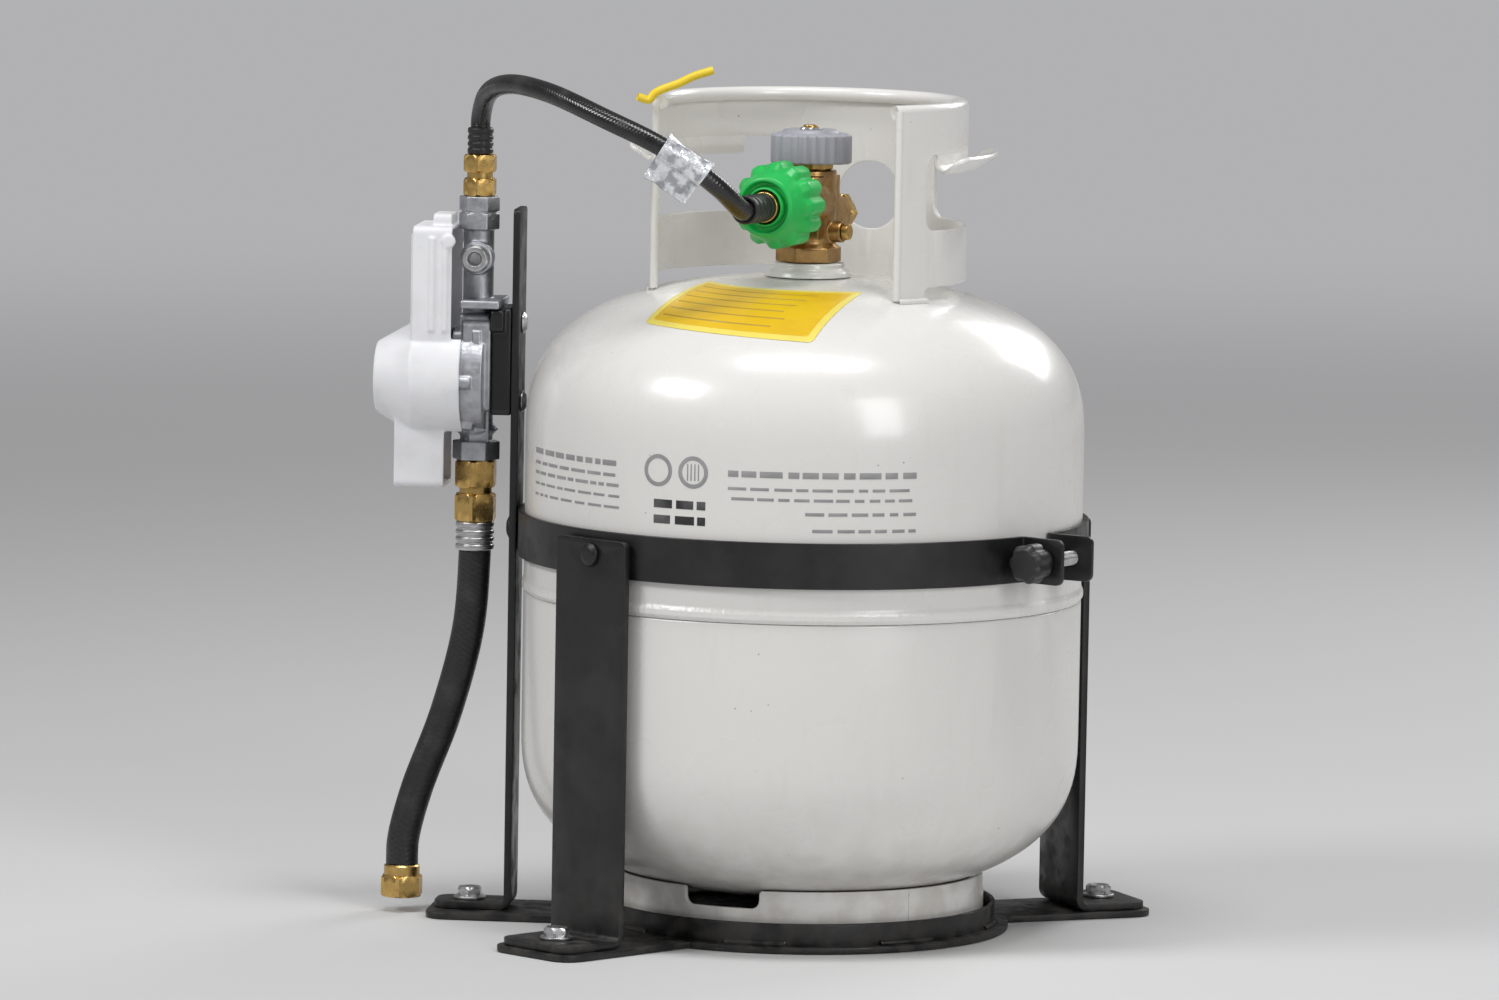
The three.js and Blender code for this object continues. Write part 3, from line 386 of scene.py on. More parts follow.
def rounded_ends(rows, tangents, cap):
    """Extra rings at both ends that close to a dome of that depth."""
    steps = 5
    first, last = rows[0], rows[-1]
    head, tail = [], []
    for k in range(steps):
        a = (math.pi / 2) * (k + 0.35) / steps
        share, back = math.sin(a), cap * (1 - math.cos(a - math.pi / 2))
        head.append((first[0] - tangents[0] * (cap - back), first[1], first[2], share))
        tail.append((last[0] + tangents[-1] * (cap - back), last[1], last[2], share))
    return [*head, *rows, *reversed(tail)]


def plate(name, outline, holes=(), thickness=3.0, edge=0.5, mapper=None, cuts_x=(), cuts_y=(), place=None):
    """A flat sheet with rounded edges, cut from an outline with holes.

    mapper carries each (x, y, t), with t from -thickness / 2 to thickness / 2, to its place.
    Cuts are the lines where the sheet may bend.
    """
    curve = bpy.data.curves.new(name, "CURVE")
    curve.dimensions = "2D"
    curve.fill_mode = "BOTH"
    curve.extrude = thickness / 2 - edge
    curve.bevel_depth = edge
    curve.bevel_resolution = 1
    curve.offset = -edge
    for points in (outline, *holes):
        spline = curve.splines.new("POLY")
        spline.points.add(len(points) - 1)
        for slot, (x, y) in zip(spline.points, points):
            slot.co = (x, y, 0, 1)
        spline.use_cyclic_u = True
    holder = linked(name, curve)
    mesh = final_mesh(holder)
    bpy.data.objects.remove(holder)
    bpy.data.curves.remove(curve)
    shape = bmesh.new()
    shape.from_mesh(mesh)
    bpy.data.meshes.remove(mesh)
    bmesh.ops.remove_doubles(shape, verts=shape.verts, dist=1e-3)
    for axis, cuts in (((1, 0, 0), cuts_x), ((0, 1, 0), cuts_y)):
        for at in cuts:
            bmesh.ops.bisect_plane(
                shape,
                geom=[*shape.verts, *shape.edges, *shape.faces],
                dist=1e-4,
                plane_co=Vector(axis) * at,
                plane_no=axis,
            )
    vertices = [tuple(v.co) for v in shape.verts]
    faces = [[v.index for v in f.verts] for f in shape.faces]
    shape.free()
    if mapper:
        vertices = [mapper(*v) for v in vertices]
    return mesh_from(name, vertices, faces, place, 35.0)


def span(start, end, step):
    """Evenly spaced cut lines, no further apart than step, without the two ends."""
    count = max(1, math.ceil(abs(end - start) / step))
    return [start + (end - start) * i / count for i in range(1, count)]


def circle(x, y, r, count=32):
    angles = [2 * math.pi * i / count for i in range(count)]
    return [(x + r * math.cos(a), y + r * math.sin(a)) for a in angles]


def rectangle(x0, y0, x1, y1, radius=0.0, steps=5):
    corners = [(x0, y0), (x1, y0), (x1, y1), (x0, y1)]
    return rounded(corners, radius, steps=steps) if radius else corners


def wrapped(radius):
    """A mapper that rolls a sheet round the cylinder's axis: x is arc length at radius, y is height."""

    def mapper(x, y, t):
        return round_the_axis(radius + t, x / radius, y)

    return mapper


class Bend:
    """A path in a plane that a strip follows: straight runs and arcs, measured by length."""

    def __init__(self, points, steps=8):
        flat = rounded(points, 0.0, False, steps)
        self.points = [Vector(p) for p in flat]
        self.lengths = lengths_along(self.points)
        self.total = self.lengths[-1]
        directions = [(b - a).normalized() for a, b in zip(self.points, self.points[1:])]
        middle = [(a + b).normalized() for a, b in zip(directions, directions[1:])]
        self.directions = [directions[0], *middle, directions[-1]]

    def at(self, length, offset):
        """The point at a length along the path, moved to its left by offset."""
        length = min(max(length, 0.0), self.total)
        i = min(int(np.searchsorted(self.lengths, length, "right")) - 1, len(self.points) - 2)
        share = (length - self.lengths[i]) / max(self.lengths[i + 1] - self.lengths[i], 1e-9)
        point = self.points[i].lerp(self.points[i + 1], share)
        along = self.directions[i].lerp(self.directions[i + 1], share).normalized()
        return point + Vector((-along.y, along.x)) * offset


def joined(name, *objects):
    """One object from several, which are used up."""
    total = bmesh.new()
    for one in objects:
        total.from_mesh(one.data)
    mesh = bpy.data.meshes.new(name)
    total.to_mesh(mesh)
    total.free()
    used = [one.data for one in objects]
    for one in objects:
        bpy.data.objects.remove(one)
    for data in used:
        bpy.data.meshes.remove(data)
    return linked(name, mesh)


def final_mesh(made):
    graph = bpy.context.evaluated_depsgraph_get()
    return bpy.data.meshes.new_from_object(made.evaluated_get(graph))


def apply_modifiers(made):
    """Replaces the mesh by what its modifiers make of it."""
    mesh = final_mesh(made)
    old = made.data
    made.modifiers.clear()
    made.data = mesh
    bpy.data.meshes.remove(old)


# ---------------------------------------------------------------- cast and moulded shapes
def block(x0, x1, y0, y1, z0, z1):
    """A box between two values on each axis."""
    corners = [(x, y, z) for x in (x0, x1) for y in (y0, y1) for z in (z0, z1)]
    faces = [(0, 1, 3, 2), (4, 6, 7, 5), (0, 4, 5, 1), (2, 3, 7, 6), (0, 2, 6, 4), (1, 5, 7, 3)]
    return corners, faces


def bar(r, start, end, sides=32, far=None, twist=0.0):
    """A round or many-sided bar between two points, tapering to the radius far."""
    start, end = Vector(start), Vector(end)
    axis = (end - start).normalized()
    side = axis.orthogonal().normalized()
    if abs(axis.z) > 0.9:
        side = Vector((0, -1, 0))
    other = axis.cross(side)
    vertices = []
    for point, reach in ((start, r), (end, far or r)):
        for i in range(sides):
            a = 2 * math.pi * i / sides + rad(twist)
            vertices.append(tuple(point + (side * math.cos(a) + other * math.sin(a)) * reach))
    faces = [[i, (i + 1) % sides, sides + (i + 1) % sides, sides + i] for i in range(sides)]
    faces += [list(range(sides)), list(range(sides, 2 * sides))]
    return vertices, faces


def pillar(r, z0, z1, y=0.0, sides=32, far=None):
    """An upright bar in the plane x = 0."""
    return bar(r, (0, y, z0), (0, y, z1), sides, far)


def level(r, z, y0, y1, sides=32, far=None, twist=0.0):
    """A level bar in the plane x = 0, from y0 to y1."""
    return bar(r, (0, y0, z), (0, y1, z), sides, far, twist)


def one_mesh(name, parts):
    """One object, still in millimetres, from several lists of vertices and faces."""
    vertices, faces = [], []
    for part_vertices, part_faces in parts:
        shift = len(vertices)
        vertices += part_vertices
        faces += [[shift + i for i in face] for face in part_faces]
    mesh = bpy.data.meshes.new(name)
    mesh.from_pydata(vertices, [], faces)
    face_outwards(mesh)
    return linked(name, mesh)


def cast(name, adds, cuts, voxel=0.6, relax=4, place=None):
    """Solids joined and cut, then remeshed and relaxed so that every edge gets a small fillet."""
    made = one_mesh(name, adds)
    tool = one_mesh(name + "_cuts", cuts) if cuts else None
    if tool:
        cutter = made.modifiers.new("cut", "BOOLEAN")
        cutter.operation = "DIFFERENCE"
        cutter.solver = "EXACT"
        cutter.use_self = True
        cutter.object = tool
    remesh = made.modifiers.new("remesh", "REMESH")
    remesh.mode = "VOXEL"
    remesh.voxel_size = voxel * 1.0
    smooth = made.modifiers.new("smooth", "SMOOTH")
    smooth.factor = 0.5
    smooth.iterations = relax
    apply_modifiers(made)
    if tool:
        bpy.data.objects.remove(tool)
    made.data.transform(Matrix.Scale(MM, 4) @ (place or Matrix.Identity(4)))
    made.data.shade_smooth()
    return made


# ---------------------------------------------------------------- materials
class Look:
    """A node material built up in layers of colour, roughness and height."""

    def __init__(self, name, color, roughness, metallic=0.0, **inputs):
        self.material = bpy.data.materials.new(name)
        self.material.use_nodes = True
        self.tree = self.material.node_tree
        self.bsdf = self.tree.nodes["Principled BSDF"]
        self.bsdf.inputs["Metallic"].default_value = metallic
        for key, value in inputs.items():
            self.bsdf.inputs[key.replace("_", " ")].default_value = value
        self.color = (*color, 1.0)
        self.rough = roughness
        self.normal = None
        self.coords = self.node("ShaderNodeTexCoord").outputs["Object"]
        self.seed = 0.0

    def node(self, kind, **settings):
        made = self.tree.nodes.new(kind)
        for key, value in settings.items():
            setattr(made, key, value)
        return made

    def feed(self, socket, value):
        if isinstance(value, bpy.types.NodeSocket):
            self.tree.links.new(value, socket)
        else:
            socket.default_value = value

    def placed(self, size, stretch):
        """Coordinates where one unit is size millimetres, shifted so that no two layers match."""
        self.seed += 7.3
        mapping = self.node("ShaderNodeMapping")
        self.feed(mapping.inputs["Vector"], self.coords)
        mapping.inputs["Scale"].default_value = [1 / MM / size / s for s in stretch]
        mapping.inputs["Location"].default_value = (self.seed, self.seed * 1.7, self.seed * 0.6)
        return mapping.outputs["Vector"]

    def texture(self, kind, size, stretch=(1, 1, 1)):
        made = self.node(kind)
        self.feed(made.inputs["Vector"], self.placed(size, stretch))
        made.inputs["Scale"].default_value = 1.0
        return made

    def noise(self, size, detail, stretch=(1, 1, 1)):
        made = self.texture("ShaderNodeTexNoise", size, stretch)
        made.inputs["Detail"].default_value = detail
        return made.outputs["Fac"]

    def cells(self, size):
        return self.texture("ShaderNodeTexVoronoi", size).outputs["Distance"]

    def ramp(self, value, start, end):
        """0 below start, 1 above end, smooth between. start may be above end."""
        made = self.node("ShaderNodeMapRange", interpolation_type="SMOOTHSTEP")
        self.feed(made.inputs["Value"], value)
        ends = sorted(((start, 0.0), (end, 1.0)))
        for edge, (at, result) in zip(("Min", "Max"), ends):
            made.inputs[f"From {edge}"].default_value = at
            made.inputs[f"To {edge}"].default_value = result
        return made.outputs["Result"]

    def patches(self, size, detail, start, end):
        """Soft-edged patches of noise, 0 outside them and 1 inside."""
        return self.ramp(self.noise(size, detail), start, end)

    def math(self, operation, a, b=0.0):
        made = self.node("ShaderNodeMath", operation=operation)
        self.feed(made.inputs[0], a)
        self.feed(made.inputs[1], b)
        return made.outputs[0]

    def times(self, a, b):
        return self.math("MULTIPLY", a, b)

    def split(self, vector):
        """The outputs X, Y and Z of a vector."""
        made = self.node("ShaderNodeSeparateXYZ")
        self.feed(made.inputs[0], vector)
        return made.outputs

    def height(self):
        """The height above the base, in millimetres."""
        return self.math("DIVIDE", self.split(self.coords)["Z"], MM)

    def attribute(self, name):
        made = self.node("ShaderNodeAttribute", attribute_name=name)
        return made.outputs["Fac"]

    def mix(self, kind, mask, a, b):
        """a where the mask is 0, b where it is 1."""
        made = self.node("ShaderNodeMix", data_type=kind)
        for name, value in (("Factor", mask), ("A", a), ("B", b)):
            self.feed(made.inputs[name], value)
        return made.outputs["Result"]

    def tint(self, mask, color, strength=1.0):
        self.color = self.mix("RGBA", self.times(mask, strength), self.color, (*color, 1.0))

    def roughen(self, mask, value):
        self.rough = self.mix("FLOAT", mask, self.rough, value)

    def lift(self, value, millimetres):
        bump = self.node("ShaderNodeBump")
        bump.inputs["Distance"].default_value = millimetres * MM
        self.feed(bump.inputs["Height"], value)
        if self.normal is not None:
            self.feed(bump.inputs["Normal"], self.normal)
        self.normal = bump.outputs["Normal"]

    def bare(self, mask, color, roughness):
        """Paint worn through to metal where the mask is 1."""
        self.tint(mask, color)
        self.roughen(mask, roughness)
        self.feed(self.bsdf.inputs["Metallic"], mask)

    def done(self):
        self.feed(self.bsdf.inputs["Base Color"], self.color)
        self.feed(self.bsdf.inputs["Roughness"], self.rough)
        if self.normal is not None:
            self.feed(self.bsdf.inputs["Normal"], self.normal)
        return self.material


def white_enamel():
    """Thick gloss enamel: orange peel, yellowed streaks, dust low down, specks and chipped edges."""
    look = Look("white_enamel", (0.745, 0.735, 0.71), 0.25, Coat_Weight=0.35, Coat_Roughness=0.12)
    look.lift(look.noise(9.0, 1.5), 0.09)
    look.lift(look.noise(1.6, 2.0), 0.008)
    look.tint(look.noise(90.0, 3.0), (0.69, 0.68, 0.65), 0.5)
    look.tint(look.ramp(look.noise(24.0, 5.0, (0.35, 0.35, 2.2)), 0.5, 1.0), (0.55, 0.53, 0.49), 0.3)
    z = look.height()
    dust = look.times(look.ramp(z, 95.0, 8.0), look.patches(14.0, 5.0, 0.35, 0.65))
    look.tint(dust, (0.45, 0.41, 0.35), 0.45)
    look.roughen(dust, 0.6)
    specks = look.ramp(look.cells(9.0), 0.075, 0.045)
    specks = look.times(specks, look.patches(30.0, 2.0, 0.55, 0.62))
    look.tint(specks, (0.22, 0.20, 0.18), 0.7)
    seam = look.times(look.ramp(z, SEAM_Z - 1.5, SEAM_Z + 1.0), look.ramp(z, SEAM_Z + 9.0, SEAM_Z + 6.0))
    look.lift(look.times(seam, look.noise(2.6, 2.0, (1, 1, 3.0))), 0.5)
    look.roughen(look.noise(45.0, 2.0), 0.30)
    wear = look.ramp(look.attribute("edge"), 0.22, 0.42)
    wear = look.times(wear, look.patches(5.0, 4.0, 0.60, 0.68))
    look.bare(wear, (0.34, 0.30, 0.27), 0.55)
    return look.done()


def black_coat():
    """Satin black powder coat with dull patches, dust low down and worn edges."""
    look = Look("black_coat", (0.008, 0.008, 0.0085), 0.34)
    look.lift(look.noise(2.2, 3.0), 0.05)
    look.tint(look.patches(30.0, 5.0, 0.45, 0.75), (0.030, 0.029, 0.027), 0.4)
    look.roughen(look.patches(12.0, 4.0, 0.4, 0.7), 0.52)
    dust = look.times(look.ramp(look.height(), 60.0, 4.0), look.patches(10.0, 5.0, 0.4, 0.7))
    look.tint(dust, (0.10, 0.09, 0.075), 0.35)
    look.roughen(dust, 0.8)
    wear = look.ramp(look.attribute("edge"), 0.20, 0.40)
    wear = look.times(wear, look.patches(4.0, 5.0, 0.52, 0.62))
    look.bare(wear, (0.50, 0.49, 0.48), 0.38)
    return look.done()


def metal(name, color, roughness, stain):
    """Machined or plated metal with fine tool marks, dull patches and brighter edges."""
    look = Look(name, color, roughness, 1.0)
    look.lift(look.noise(1.4, 3.0), 0.03)
    look.tint(look.patches(7.0, 5.0, 0.42, 0.70), stain, 0.55)
    look.tint(look.patches(1.1, 3.0, 0.60, 0.75), stain, 0.5)
    look.roughen(look.patches(4.0, 4.0, 0.40, 0.72), min(0.75, roughness + 0.22))
    look.tint(look.ramp(look.attribute("edge"), 0.15, 0.35), tuple(min(1.0, c * 1.25) for c in color), 0.6)
    return look.done()


def cast_zinc():
    look = Look("cast_zinc", (0.47, 0.48, 0.51), 0.42, 0.9)
    look.lift(look.noise(0.9, 4.0), 0.10)
    look.lift(look.noise(5.0, 2.0), 0.15)
    look.tint(look.patches(9.0, 5.0, 0.40, 0.68), (0.30, 0.31, 0.335), 0.65)
    look.tint(look.patches(2.2, 4.0, 0.62, 0.78), (0.62, 0.63, 0.65), 0.5)
    look.roughen(look.patches(3.0, 4.0, 0.40, 0.70), 0.60)
    return look.done()


def moulded(name, color, roughness, pale=None, scatter=0.0, grain=0.02):
    """Injection-moulded plastic: fine grain, faint flow marks, handling scuffs."""
    look = Look(name, color, roughness, Subsurface_Weight=scatter, Subsurface_Scale=0.002)
    look.lift(look.noise(0.7, 2.0), grain)
    look.tint(look.patches(22.0, 3.0, 0.40, 0.75), tuple(c * 0.84 for c in color), 0.6)
    look.roughen(look.patches(11.0, 5.0, 0.45, 0.72), min(0.9, roughness + 0.16))
    scuffs = look.ramp(look.noise(2.6, 6.0, (3.0, 0.6, 1.0)), 0.66, 0.74)
    look.tint(scuffs, pale or tuple(min(1.0, c + 0.12) for c in color), 0.35)
    return look.done()


def hose_jacket(name, roughness, ribs, weave):
    """Black hose: a pressed cloth pattern, faint lay lines, dust in the hollows."""
    look = Look(name, (0.012, 0.012, 0.013), roughness, Coat_Weight=0.15, Coat_Roughness=0.3)
    uv = look.split(look.node("ShaderNodeUVMap").outputs["UV"])
    turns = look.times(uv["Y"], 2 * math.pi * weave)
    left = look.math("SINE", look.math("ADD", look.times(uv["X"], ribs), turns))
    right = look.math("SINE", look.math("SUBTRACT", look.times(uv["X"], ribs), turns))
    look.lift(look.math("ADD", left, right), 0.035)
    look.lift(look.noise(1.2, 3.0), 0.03)
    look.tint(look.patches(16.0, 4.0, 0.45, 0.75), (0.05, 0.048, 0.045), 0.55)
    look.roughen(look.patches(9.0, 4.0, 0.45, 0.7), min(0.9, roughness + 0.2))
    return look.done()


def seal_rubber():
    look = Look("seal_rubber", (0.018, 0.018, 0.018), 0.62)
    look.lift(look.noise(0.8, 3.0), 0.03)
    look.tint(look.patches(5.0, 4.0, 0.45, 0.75), (0.06, 0.058, 0.055), 0.6)
    return look.done()


def foil():
    look = Look("foil_tag", (0.78, 0.80, 0.83), 0.20, 0.35, Coat_Weight=0.5)
    look.lift(look.noise(4.5, 3.0), 1.1)
    look.lift(look.cells(6.0), 0.9)
    # Dark grey patches: painted shade for the foil's crumples.
    look.tint(look.patches(6.0, 4.0, 0.45, 0.62), (0.24, 0.25, 0.28), 0.75)
    look.roughen(look.patches(3.0, 3.0, 0.45, 0.7), 0.40)
    return look.done()


def label_paper(name, color, faded):
    look = Look(name, color, 0.34, Coat_Weight=0.2)
    look.lift(look.noise(3.0, 3.0), 0.03)
    look.tint(look.patches(15.0, 4.0, 0.45, 0.75), faded, 0.5)
    return look.done()


def ink(name, color):
    """Printing ink, worn a little paler in patches."""
    look = Look(name, color, 0.5)
    look.tint(look.patches(14.0, 3.0, 0.35, 0.80), tuple(0.4 + 0.4 * c for c in color), 0.3)
    look.lift(look.noise(0.6, 2.0), 0.01)
    return look.done()


# A darker copy of the brass for the valve body: painted shade, where the body stands in shade.
SHADED_BRASS = metal("shade_darkened_brass", (0.47, 0.29, 0.115), 0.34, (0.22, 0.125, 0.055))
LOOKS = {
    "white_paint": white_enamel(),
    "black_paint": black_coat(),
    "brass": metal("dulled_brass", (0.62, 0.41, 0.14), 0.27, (0.36, 0.22, 0.08)),
    "steel": metal("plated_steel", (0.60, 0.60, 0.61), 0.28, (0.38, 0.37, 0.36)),
    "cast_zinc": cast_zinc(),
    "grey_wheel": moulded("grey_wheel", (0.33, 0.33, 0.37), 0.42, (0.55, 0.55, 0.6)),
    "white_plastic": moulded("white_plastic", (0.78, 0.78, 0.80), 0.42, (0.6, 0.6, 0.6), 0.08, 0.03),
    "green_plastic": moulded("green_plastic", (0.012, 0.46, 0.085), 0.34, (0.25, 0.75, 0.35), 0.06),
    "yellow_plastic": moulded("yellow_plastic", (0.80, 0.58, 0.02), 0.38, (0.9, 0.8, 0.3), 0.06),
    "black_plastic": moulded("black_plastic", (0.016, 0.016, 0.017), 0.38, (0.09, 0.09, 0.09)),
    "float_foam": moulded("float_foam", (0.05, 0.043, 0.038), 0.75, (0.12, 0.11, 0.1), 0.0, 0.12),
    "hose_rubber": hose_jacket("hose_rubber", 0.40, 2.1, 9),
    "seal_rubber": seal_rubber(),
    "foil_tag": foil(),
}
GLOSSY_HOSE = hose_jacket("glossy_hose", 0.2, 3.2, 6)
LABEL_YELLOW = label_paper("label_yellow", (0.77, 0.49, 0.010), (0.66, 0.40, 0.008))
LABEL_BORDER = label_paper("label_border", (0.84, 0.70, 0.13), (0.74, 0.62, 0.12))
GREY_INK = ink("grey_ink", (0.27, 0.265, 0.27))
BLACK_INK = ink("black_ink", (0.02, 0.02, 0.02))
RULE_INK = ink("rule_ink", (0.42, 0.27, 0.02))

NODE_SLOT = {part["node"]: part["material_slot"] for part in frame["record"]["subparts"]}
BODY_OF = {node: body for body, nodes in frame["record"]["behaviour"]["bodies"].items() for node in nodes}


def mark_edges(made):
    """Stores how sharply each point of the mesh stands out, for wear in the materials."""
    mesh = made.data
    count = len(mesh.vertices)
    co = np.zeros(count * 3, np.float32)
    normals = np.zeros(count * 3, np.float32)
    mesh.vertices.foreach_get("co", co)
    mesh.vertex_normals.foreach_get("vector", normals)
    co, normals = co.reshape(-1, 3), normals.reshape(-1, 3)
    pairs = np.zeros(len(mesh.edges) * 2, np.int32)
    mesh.edges.foreach_get("vertices", pairs)
    pairs = pairs.reshape(-1, 2)
    step = co[pairs[:, 1]] - co[pairs[:, 0]]
    step /= np.maximum(np.linalg.norm(step, axis=1, keepdims=True), 1e-9)
    out = np.zeros(count, np.float64)
    number = np.zeros(count, np.float64)
    for side, sign in ((0, -1.0), (1, 1.0)):
        np.add.at(out, pairs[:, side], sign * np.einsum("ij,ij->i", step, normals[pairs[:, side]]))
        np.add.at(number, pairs[:, side], 1.0)
    edge = np.clip(out / np.maximum(number, 1.0), 0.0, 1.0).astype(np.float32)
    layer = mesh.attributes.get("edge") or mesh.attributes.new("edge", "FLOAT", "POINT")
    layer.data.foreach_set("value", edge)


def stands_for(made, node=None, look=None, body=None, slot=None, bend=None):
    """The finished piece takes a node's place, body and material slot, or those given.
    """
    slot = slot or NODE_SLOT[node]
    made.data.materials.clear()
    made.data.materials.append(look or LOOKS[slot])
    mark_edges(made)
    if bend:
        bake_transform(made)
    else:
        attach(made, body or BODY_OF[node])
    if node:
        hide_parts(node)


def turned(node, made_as, profile, soft=0.0, segments=96, place=None, shape=None, sharp=40.0):
    """A turned piece in a node's place. soft rounds the profile, but not where it meets the axis."""
    if soft:
        profile = rounded(profile, soft, closed=profile[0][0] > 0)
    stands_for(revolve(f"{node}_{made_as}", profile, segments, place, shape, sharp), node)


# ---------------------------------------------------------------- pressure vessel
def dome_height(r, radius=TANK_R, height=DOME):
    """How far the dome stands above its tangent line at a radius."""
    return height * max(0.0, 1 - (r / radius) ** DOME_POWER) ** (1 / DOME_POWER)


def dome_arc(radius, height, tangent, direction, from_r, to_r, count=30):
    """(radius, height) points along a dome, closer together where it curves more."""
    spread = 2 / DOME_POWER
    a0 = math.asin((from_r / radius) ** (1 / spread))
    a1 = math.asin((to_r / radius) ** (1 / spread))
    made = []
    for i in range(count):
        r = radius * math.sin(a0 + (a1 - a0) * i / (count - 1)) ** spread
        made.append((r, tangent + direction * dome_height(r, radius, height)))
    return made


def build_shells():
    """The lower shell's edge is stepped inwards as a lip, and the upper shell's edge laps over it."""
    inner = TANK_R - WALL
    lip_out = inner - 0.3
    outside = dome_arc(TANK_R, DOME, LOW_TANGENT, -1, 0.0, TANK_R)
    joggle = rounded(
        [
            (TANK_R, LOW_TANGENT + 5), (TANK_R, SEAM_Z, 1.2),
            (lip_out, SEAM_Z, 0.6), (lip_out, SEAM_Z + 12, 0.8),
            (lip_out - WALL, SEAM_Z + 12, 0.8), (lip_out - WALL, SEAM_Z - 2),
            (inner, SEAM_Z - 8), (inner, LOW_TANGENT + 5),
        ],
        1.0,
        closed=False,
    )
    inside = dome_arc(inner, DOME - WALL, LOW_TANGENT, -1, 0.0, inner, 16)[::-1]
    turned("lower_shell", "skin", [*outside, *joggle, *inside], segments=192)

    edge = SEAM_Z + 0.3
    bore = 20.0
    bead = rounded(
        [
            (inner, edge), (TANK_R - 0.2, edge, 0.5),
            (TANK_R + 1.1, edge + 2.2, 1.4), (TANK_R + 1.1, edge + 5.0, 1.4),
            (TANK_R, edge + 7.5, 3.0), (TANK_R, HIGH_TANGENT - 5),
        ],
        1.0,
        closed=False,
    )
    outside = dome_arc(TANK_R, DOME, HIGH_TANGENT, 1, bore, TANK_R)[::-1]
    inside = dome_arc(inner, DOME - WALL, HIGH_TANGENT, 1, bore, inner, 16)
    turned("upper_shell", "skin", [*bead, *outside, *inside], segments=192)


def build_boss():
    """The threaded boss on top of the dome. Its heights run from the dome's top."""
    bore, neck = 13.3, 19.7
    points = [
        (bore, -11), (neck, -11), (neck, 0.3, 0), (neck + 4.6, 0.3, 0.3),
        (neck + 3.2, 3.2, 2.5), (neck + 0.7, 5.0, 2.0), (neck + 0.5, 8.0, 1.2), (bore, 8.0, 0.8),
    ]
    turned("valve_boss", "turned", [(r, DOME_TOP + z, *own) for r, z, *own in points], 0.6)


def build_foot_ring():
    """A rolled strip with three vent gaps in its upper edge and an inward flange below."""
    radius, wall, flange = 104.0, 2.6, 7.0
    bottom, top = low("foot_ring").z, high("foot_ring").z
    middle = radius - wall / 2
    round_length = 2 * math.pi * middle
    half_vent = 22.0
    start = bottom + 3.0
    left, right = 0.02, round_length - 0.02
    edge = []
    for k in range(3):
        at = round_length * (k + 0.5) / 3
        edge += [
            (at - half_vent, top, 2.0), (at - half_vent, top - 10.0, 5.0),
            (at + half_vent, top - 10.0, 5.0), (at + half_vent, top, 2.0),
        ]
    edge = [(left, top, 0), *edge, (right, top, 0)]
    outline = [(left, start), (right, start), *rounded(edge[::-1], 0.0, closed=False)]

    def mapper(x, y, t):
        return round_the_axis(middle + t, x / middle + math.pi / 3, y)

    wall_sheet = plate("ring_wall", outline, (), wall, 0.4, mapper, cuts_x=span(0, round_length, 4.0))
    roll = rounded(
        [
            (radius - flange, bottom, 1.0), (radius, bottom, 3.2),
            (radius, start + 0.6, 0), (radius - wall, start + 0.6, 0),
            (radius - wall, bottom + wall, 1.2), (radius - flange, bottom + wall, 1.0),
        ],
        0.8,
    )
    ring = joined("foot_ring_rolled", wall_sheet, revolve("ring_roll", roll, 144))
    stands_for(shade(ring), "foot_ring")


# ---------------------------------------------------------------- guard collar
OPENING = 58.0  # half the angle of the collar's open front
HOLE_FROM, HOLE_TO = 71.0, 149.0
HAND_HOLES = ((HOLE_FROM, HOLE_TO), (360 - HOLE_TO, 360 - HOLE_FROM))
HOLE_LOW, HOLE_HIGH = 30.5, 72.0
LIP_FROM, LIP_TO = 77.0, 131.0


def build_collar():
    """A rolled strip with two hand holes and a round one, its rim and ends hemmed, its feet welded."""
    middle = COLLAR_R - COLLAR_T / 2
    per_degree = middle * math.pi / 180
    foot = HIGH_TANGENT + dome_height(COLLAR_R - COLLAR_T) + 0.3
    arch = DOME_TOP - 0.6
    rim_z = COLLAR_TOP - RIM_R

    def x(phi):
        return phi * per_degree

    bottom = [(x(OPENING), foot, 1.0)]
    for a, b in HAND_HOLES:
        bottom += [(x(a), foot, 1.0), (x(a), arch, 3.5), (x(b), arch, 3.5), (x(b), foot, 1.0)]
    bottom.append((x(360 - OPENING), foot, 1.0))
    outline = rounded([*bottom, (x(360 - OPENING), rim_z), (x(OPENING), rim_z)], 1.0, steps=5)
    holes = [
        rectangle(x(a), DOME_TOP + HOLE_LOW, x(b), DOME_TOP + HOLE_HIGH, 7.0, 7)
        for a, b in HAND_HOLES
    ]
    holes.append(circle(x(180), DOME_TOP + 40, 19.0, 56))
    bends = span(x(OPENING), x(360 - OPENING), 2.6)
    sheet = plate("collar_sheet", outline, holes, COLLAR_T, 0.55, wrapped(middle), bends)
    arc = [
        round_the_axis(COLLAR_R - RIM_R, rad(phi), rim_z)
        for phi in np.linspace(OPENING, 360 - OPENING, 150)
    ]
    rim = tube("collar_rim", arc, RIM_R, 24, cap=1.6)
    hems = []
    for phi in (OPENING, 360 - OPENING):
        line = [round_the_axis(middle, rad(phi), z) for z in (foot + 1.5, (foot + rim_z) / 2, rim_z - 0.5)]
        hems.append(tube("collar_hem", line, 2.25, 20, cap=1.2))
    lips = [grip_lip(1), grip_lip(-1)]
    feet = ((OPENING, HOLE_FROM), (HOLE_TO, 360 - HOLE_TO), (360 - HOLE_FROM, 360 - OPENING))
    beads = [foot_weld(a, b) for a, b in feet]
    collar = joined("guard_collar_pressed", sheet, rim, *hems, *lips, *beads)
    stands_for(shade(collar), "guard_collar")


